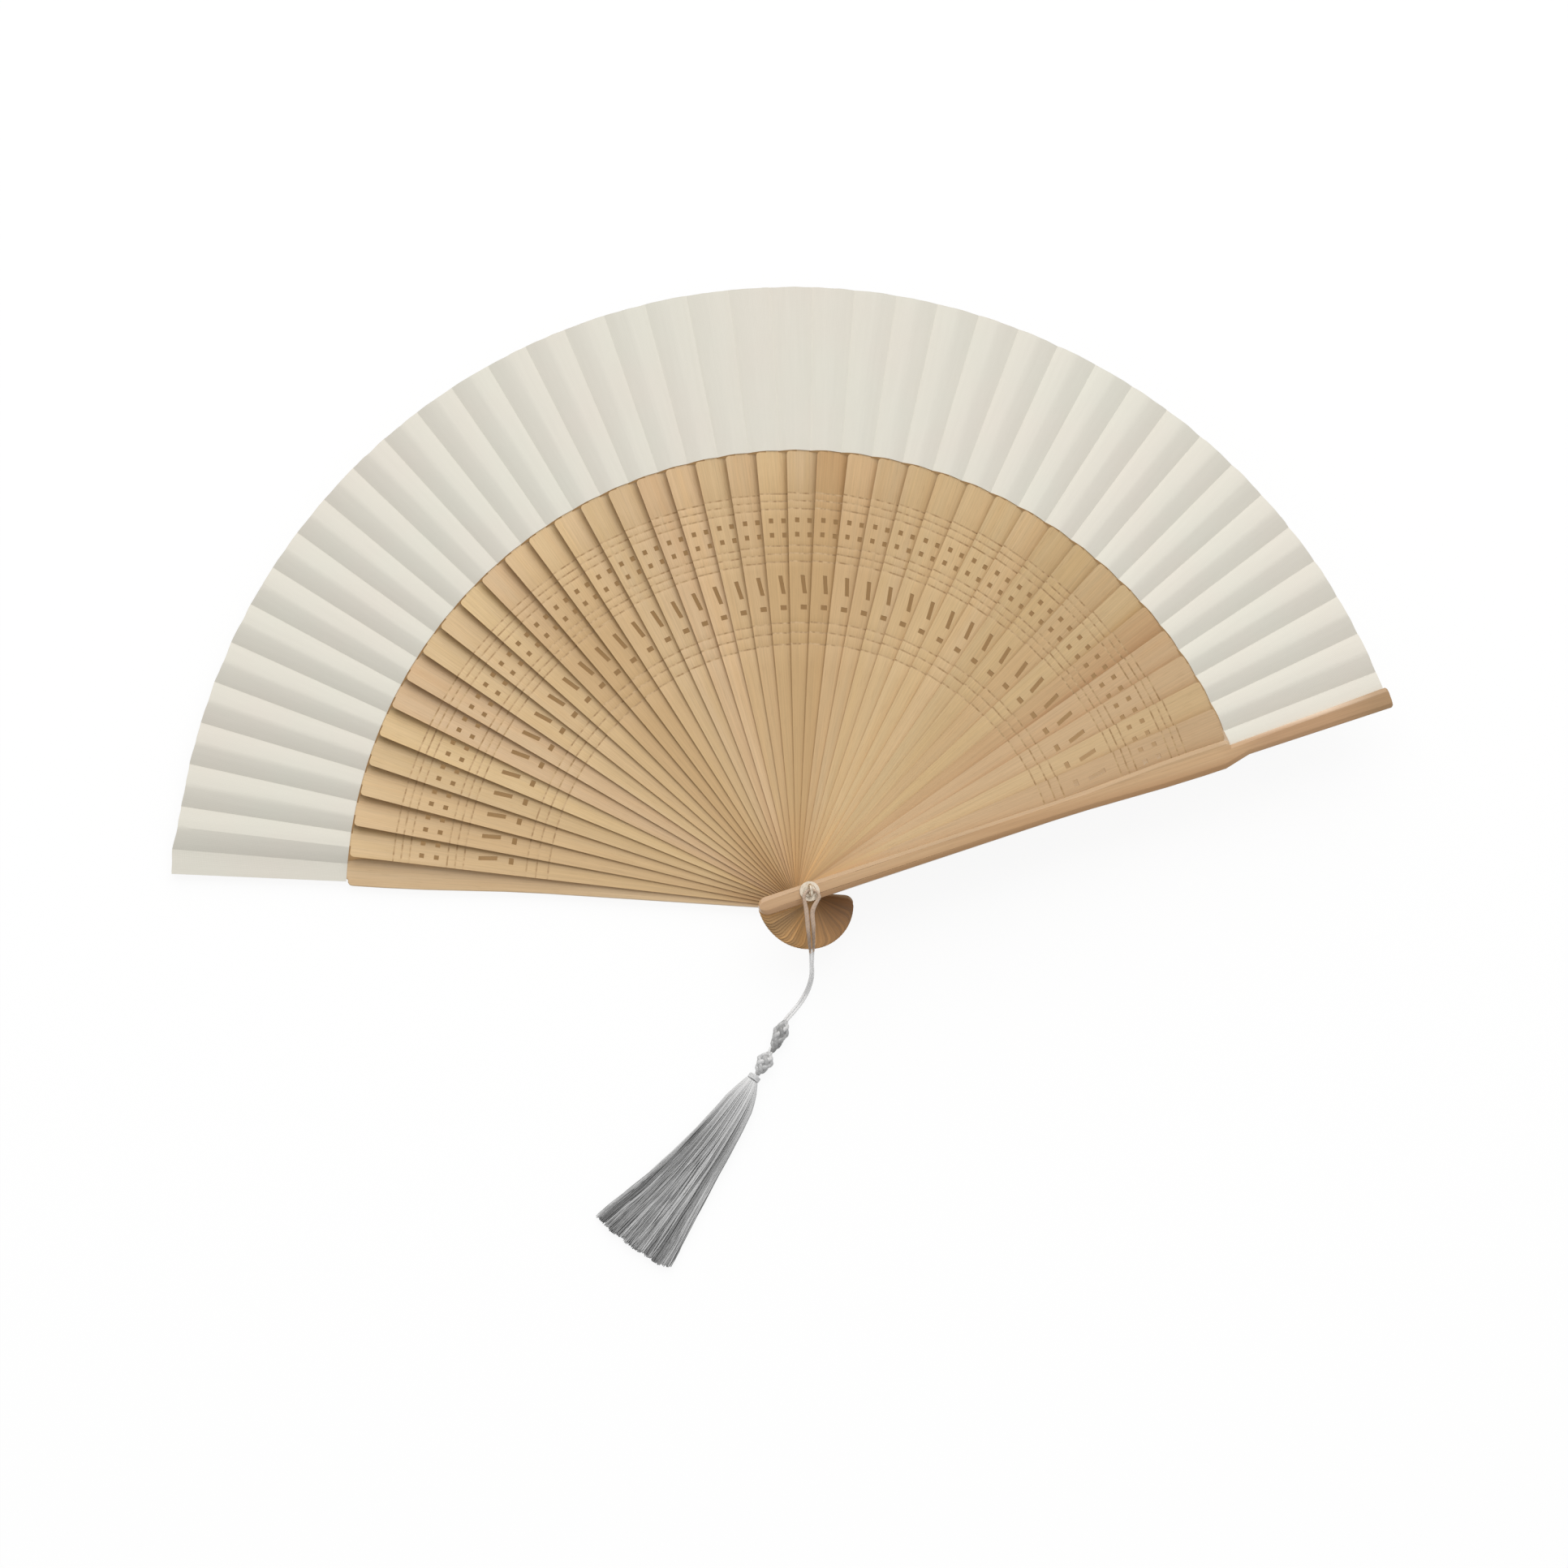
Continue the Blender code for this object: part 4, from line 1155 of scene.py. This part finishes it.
def make_skirt(start, heading, finish):
    """Some hundred satin threads that spread, bunch into locks and lie flat on the ground."""
    origin, line, beside = lengthwise(start, start + heading)
    rng = random.Random(29)
    locks = [(rng.uniform(-1, 1), rng.uniform(-1, 1)) for _ in range(LOCK_COUNT)]
    lock_shade = [rng.uniform(*LOCK_SHADES) for _ in locks]
    lock_reach = [rng.uniform(*LOCK_REACHES) for _ in locks]
    bm = bmesh.new()
    for _ in range(THREAD_COUNT):
        across = rng.uniform(-1, 1)
        room = math.sqrt(max(0.0, 1 - across * across))
        level = rng.uniform(-1, 1) * room
        lock = min(range(len(locks)), key=lambda k: abs(locks[k][0] - across))
        pull = rng.uniform(*THREAD_PULLS)
        drift = rng.uniform(-THREAD_DRIFT, THREAD_DRIFT)
        waves = [(rng.uniform(*THREAD_WAVE_SIZES), rng.uniform(*THREAD_WAVE_RATES),
                  rng.uniform(*THREAD_WAVE_PHASES)) for _ in range(THREAD_WAVES)]
        reach = (SKIRT_LENGTH * (1 + lock_reach[lock] + rng.uniform(*THREAD_REACHES))
                 - SKIRT_ROUND * across * across)
        points = []
        for n in range(THREAD_STEPS + 1):
            s = n / THREAD_STEPS
            gather = math.sin(math.pi * min(1.0, s * 1.15)) * pull
            a = between(across, locks[lock][0], gather * 0.6) + drift * s
            a = min(1.0, max(-1.0, a))
            half = SKIRT_HEM_WIDTH / 2 * table_at(SKIRT_width_shares, s) - THREAD_RADIUS
            tall = SKIRT_HEIGHT * table_at(SKIRT_height_shares, s)
            sway = sum(size * s * math.sin(rate * math.pi * s + phase)
                       for size, rate, phase in waves)
            z = tall / 2 + (tall / 2 - THREAD_RADIUS) * level
            z = max(THREAD_RADIUS * 1.02, z + sway * 0.4)
            bow = SKIRT_BOW * math.sin(math.pi * s**0.75) - SKIRT_LEAN * s
            points.append(origin + line * reach * s + beside * (half * a + sway + bow) + UP * z)
        tone = lock_shade[lock] + rng.uniform(-THREAD_SHADE, THREAD_SHADE)
        # painted shade on the threads at the skirt's left side
        tone = min(1.0, max(0.0, tone - 0.4 * max(0.0, -across - 0.5)))
        # painted highlight towards the top, and darker along the hem
        sweep(bm, points, lambda s: THREAD_RADIUS * (1 - 0.25 * s), THREAD_SIDES,
              lambda s, tone=tone: (between(TOP_HIGHLIGHT, tone, min(1.0, (s + 0.04) / 0.40))
                                    - HEM_SHADE * straight_share(HEM_START_share, 1.0, s)))
    return soft_piece("tassel_threads", "tassel_skirt", bm, finish, sharp=75)


def make_strand(name, side, stops, sideways, finish):
    """One strand of the cord, from the eye through both knots into the tassel's top."""
    path = strand_line(side)
    *inside, half_gap = CORD_ROUTE[-1]
    inside = Vector((*inside[:2], UPPER_KNOT_RADIUS))
    beside = sideways * side * half_gap
    for stop in stops:
        steps = round((stop - inside).length / CORD_STEP)
        path += [inside.lerp(stop, n / steps) + beside for n in range(1, steps + 1)]
        inside = stop
    bm = bmesh.new()
    sweep(bm, path, lambda s: CORD_RADIUS * table_at(STRAND_radius_shares, s), CORD_SIDES,
          lambda s: table_at(STRAND_painted_shade_shares, s), lambda s: table_at(STRAND_wide_shares, s),
          CORD_LAY, CORD_GROOVE)
    piece = soft_piece(name + "_silk", name, bm, finish)


def make_cord_and_tassel():
    # the cord's colours, with a tan tint where its painted shade is deep over the heads
    cord_silk = silk("cord silk", (0.98, 0.98, 0.98), (0.50, 0.49, 0.48), uneven=0.05,
                     warm=((0.25, 0.18, 0.13), (0.56, 0.42, 0.31)), glow=0.6)
    knot_silk = silk("knot silk", (0.82, 0.82, 0.82), (0.16, 0.158, 0.155))
    thread_silk = silk("tassel silk", (0.74, 0.74, 0.74), (0.17, 0.17, 0.17), 0.30, uneven=0.03)
    heading = Vector((math.cos(TASSEL_HEADING), math.sin(TASSEL_HEADING), 0))
    sideways = Vector((-heading.y, heading.x, 0))
    # the knots' shades and end shades are painted light and shade
    upper = make_knot("knot_upper_wound", "knot_upper", CORD_ROUTE[-1], UPPER_KNOT_END,
                      UPPER_KNOT_RADIUS, knot_silk, shades=(0.35, 0.90), painted_end_shade=0.35)
    between_knots = Vector((*UPPER_KNOT_END, 0)) - sideways * LOWER_KNOT_SHIFT / 2
    under_knots = Vector((*LOWER_KNOT_END, 0)) - sideways * LOWER_KNOT_SHIFT
    lower = make_knot("knot_lower_wound", "knot_lower", between_knots, under_knots,
                      LOWER_KNOT_RADIUS, knot_silk, shades=(0.55, 0.90), painted_end_shade=0.75)
    collar_start = Vector((*LOWER_KNOT_END, 0)) + heading * SOFT_GAP - sideways * TASSEL_SHIFT
    collar = make_collar(collar_start, heading, thread_silk)
    skirt_start = collar_start + heading * (COLLAR_LENGTH + SOFT_GAP)
    skirt = make_skirt(skirt_start, heading, thread_silk)
    stops = [Vector((*between_knots[:2], UPPER_KNOT_RADIUS)),
             Vector((*under_knots[:2], LOWER_KNOT_RADIUS)),
             Vector((*skirt_start[:2], COLLAR_RADIUS)) + heading * CORD_IN_SKIRT]
    make_strand("cord_left", -1, stops, sideways, cord_silk)
    make_strand("cord_right", 1, stops, sideways, cord_silk)


# Surroundings
def make_world():
    """An even white sky, which lights the fan less than it shows itself."""
    world = bpy.data.worlds.new("studio")
    world.use_nodes = True
    g = Graph(world.node_tree)
    strength = g.node("Mix")
    g.put(strength, 0, g.looking())
    g.put(strength, 2, WORLD_LIGHT)
    g.put(strength, 3, 1.0)
    sky = g.tree.nodes["Background"]
    g.put(sky, 0, (1.0, 1.0, 1.0))
    g.put(sky, 1, strength.outputs[0])
    bpy.context.scene.world = world


def make_window():
    """A large soft light from the north."""
    data = bpy.data.lights.new("north window", "AREA")
    data.shape = "SQUARE"
    data.size = WINDOW_SIZE
    data.energy = WINDOW_POWER
    data.color = WINDOW_COLOUR
    made = link("north window", data)
    made.location = (WINDOW_FAR * math.sin(WINDOW_TURN), WINDOW_FAR * math.cos(WINDOW_TURN),
                     WINDOW_HIGH)
    away = Vector(WINDOW_AIM) - made.location
    made.rotation_euler = away.to_track_quat("-Z", "Y").to_euler()


def under_fan(g):
    """1 on the floor that the open fan covers, where the painted shade goes, fading to 0 at its edges."""
    place = g.node("SeparateXYZ", Vector=g.node("NewGeometry").outputs["Position"]).outputs
    edge = g.maths("MULTIPLY", g.maths("ABSOLUTE", place["X"]), 1 / math.tan(OPEN_ANGLE / 2))
    wide = g.ranged(place["X"], *SHADE_EDGE_SPAN, *SHADE_EDGE_WIDTHS)
    inside = g.ranged(g.maths("SUBTRACT", place["Y"], edge), SHADE_EDGE_START, wide)
    away = g.maths("SQRT", g.maths("ADD", g.maths("MULTIPLY", place["X"], place["X"]),
                                   g.maths("MULTIPLY", place["Y"], place["Y"])))
    return g.maths("MULTIPLY", inside, g.ranged(away, *SHADE_RIM, 1.0, 0.0))


def pale_floor():
    """A white floor that keeps a faint shadow, with a painted warm shade under the fan."""
    paint = bpy.data.materials.new("floor")
    paint.use_nodes = True
    g = Graph(paint.node_tree)
    g.tree.nodes.remove(g.tree.nodes["Principled BSDF"])
    near = g.node("AmbientOcclusion", {"samples": SHADE_SAMPLES}, Distance=SHADE_REACH)
    openness = near.outputs["AO"]
    under = under_fan(g)
    # painted shade, deeper where less room round the floor is open
    shade = g.mix(g.ranged(openness, *SHADE_DEPTHS), PAINTED_SHADE_DEEP, PAINTED_SHADE_PALE)
    covered = g.maths("MULTIPLY", under, g.ranged(openness, *SHADE_ENDS, 1.0, 0.0))
    # painted shade under the fan, white elsewhere
    shaded = g.node("Emission", Color=g.mix(covered, (1.0, 1.0, 1.0), shade), Strength=1.0)
    white = g.node("Emission", Color=(1.0, 1.0, 1.0), Strength=1.0)
    glow = g.mix_shaders(g.maths("GREATER_THAN", under, 0.0), white, shaded)
    picture = g.mix_shaders(FLOOR_SHADOW, glow, g.node("BsdfDiffuse", Color=FLOOR_LIT))
    bounce = g.node("BsdfDiffuse", Color=FLOOR_BOUNCE)
    choice = g.mix_shaders(g.looking(), bounce, picture)
    g.put(g.tree.nodes["Material Output"], 0, choice.outputs[0])
    return paint


def make_floor():
    floor = bpy.data.meshes.new("floor")
    corners = [(x * FLOOR_HALF, y * FLOOR_HALF, 0) for x, y in ((-1, -1), (1, -1), (1, 1), (-1, 1))]
    floor.from_pydata(corners, [], [(0, 1, 2, 3)])
    floor.materials.append(pale_floor())
    made = link("floor", floor)
    made.location.z = -FLOOR_DROP


def make_camera():
    data = bpy.data.cameras.new("camera")
    data.lens = CAMERA_LENS
    data.sensor_width = CAMERA_SENSOR
    camera = link("camera", data)
    camera.location = CAMERA_PLACE
    camera.rotation_euler = [math.radians(a) for a in CAMERA_TURN]
    bpy.context.scene.camera = camera


# Making
for old in list(bpy.data.objects):
    bpy.data.objects.remove(old)
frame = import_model()
bpy.context.scene.view_settings.view_transform = "Standard"
make_camera()
make_world()
make_window()
make_floor()
make_cord_and_tassel()
make_ribs()
dress_guards(frame)
make_leaf()
dress_pin(frame)
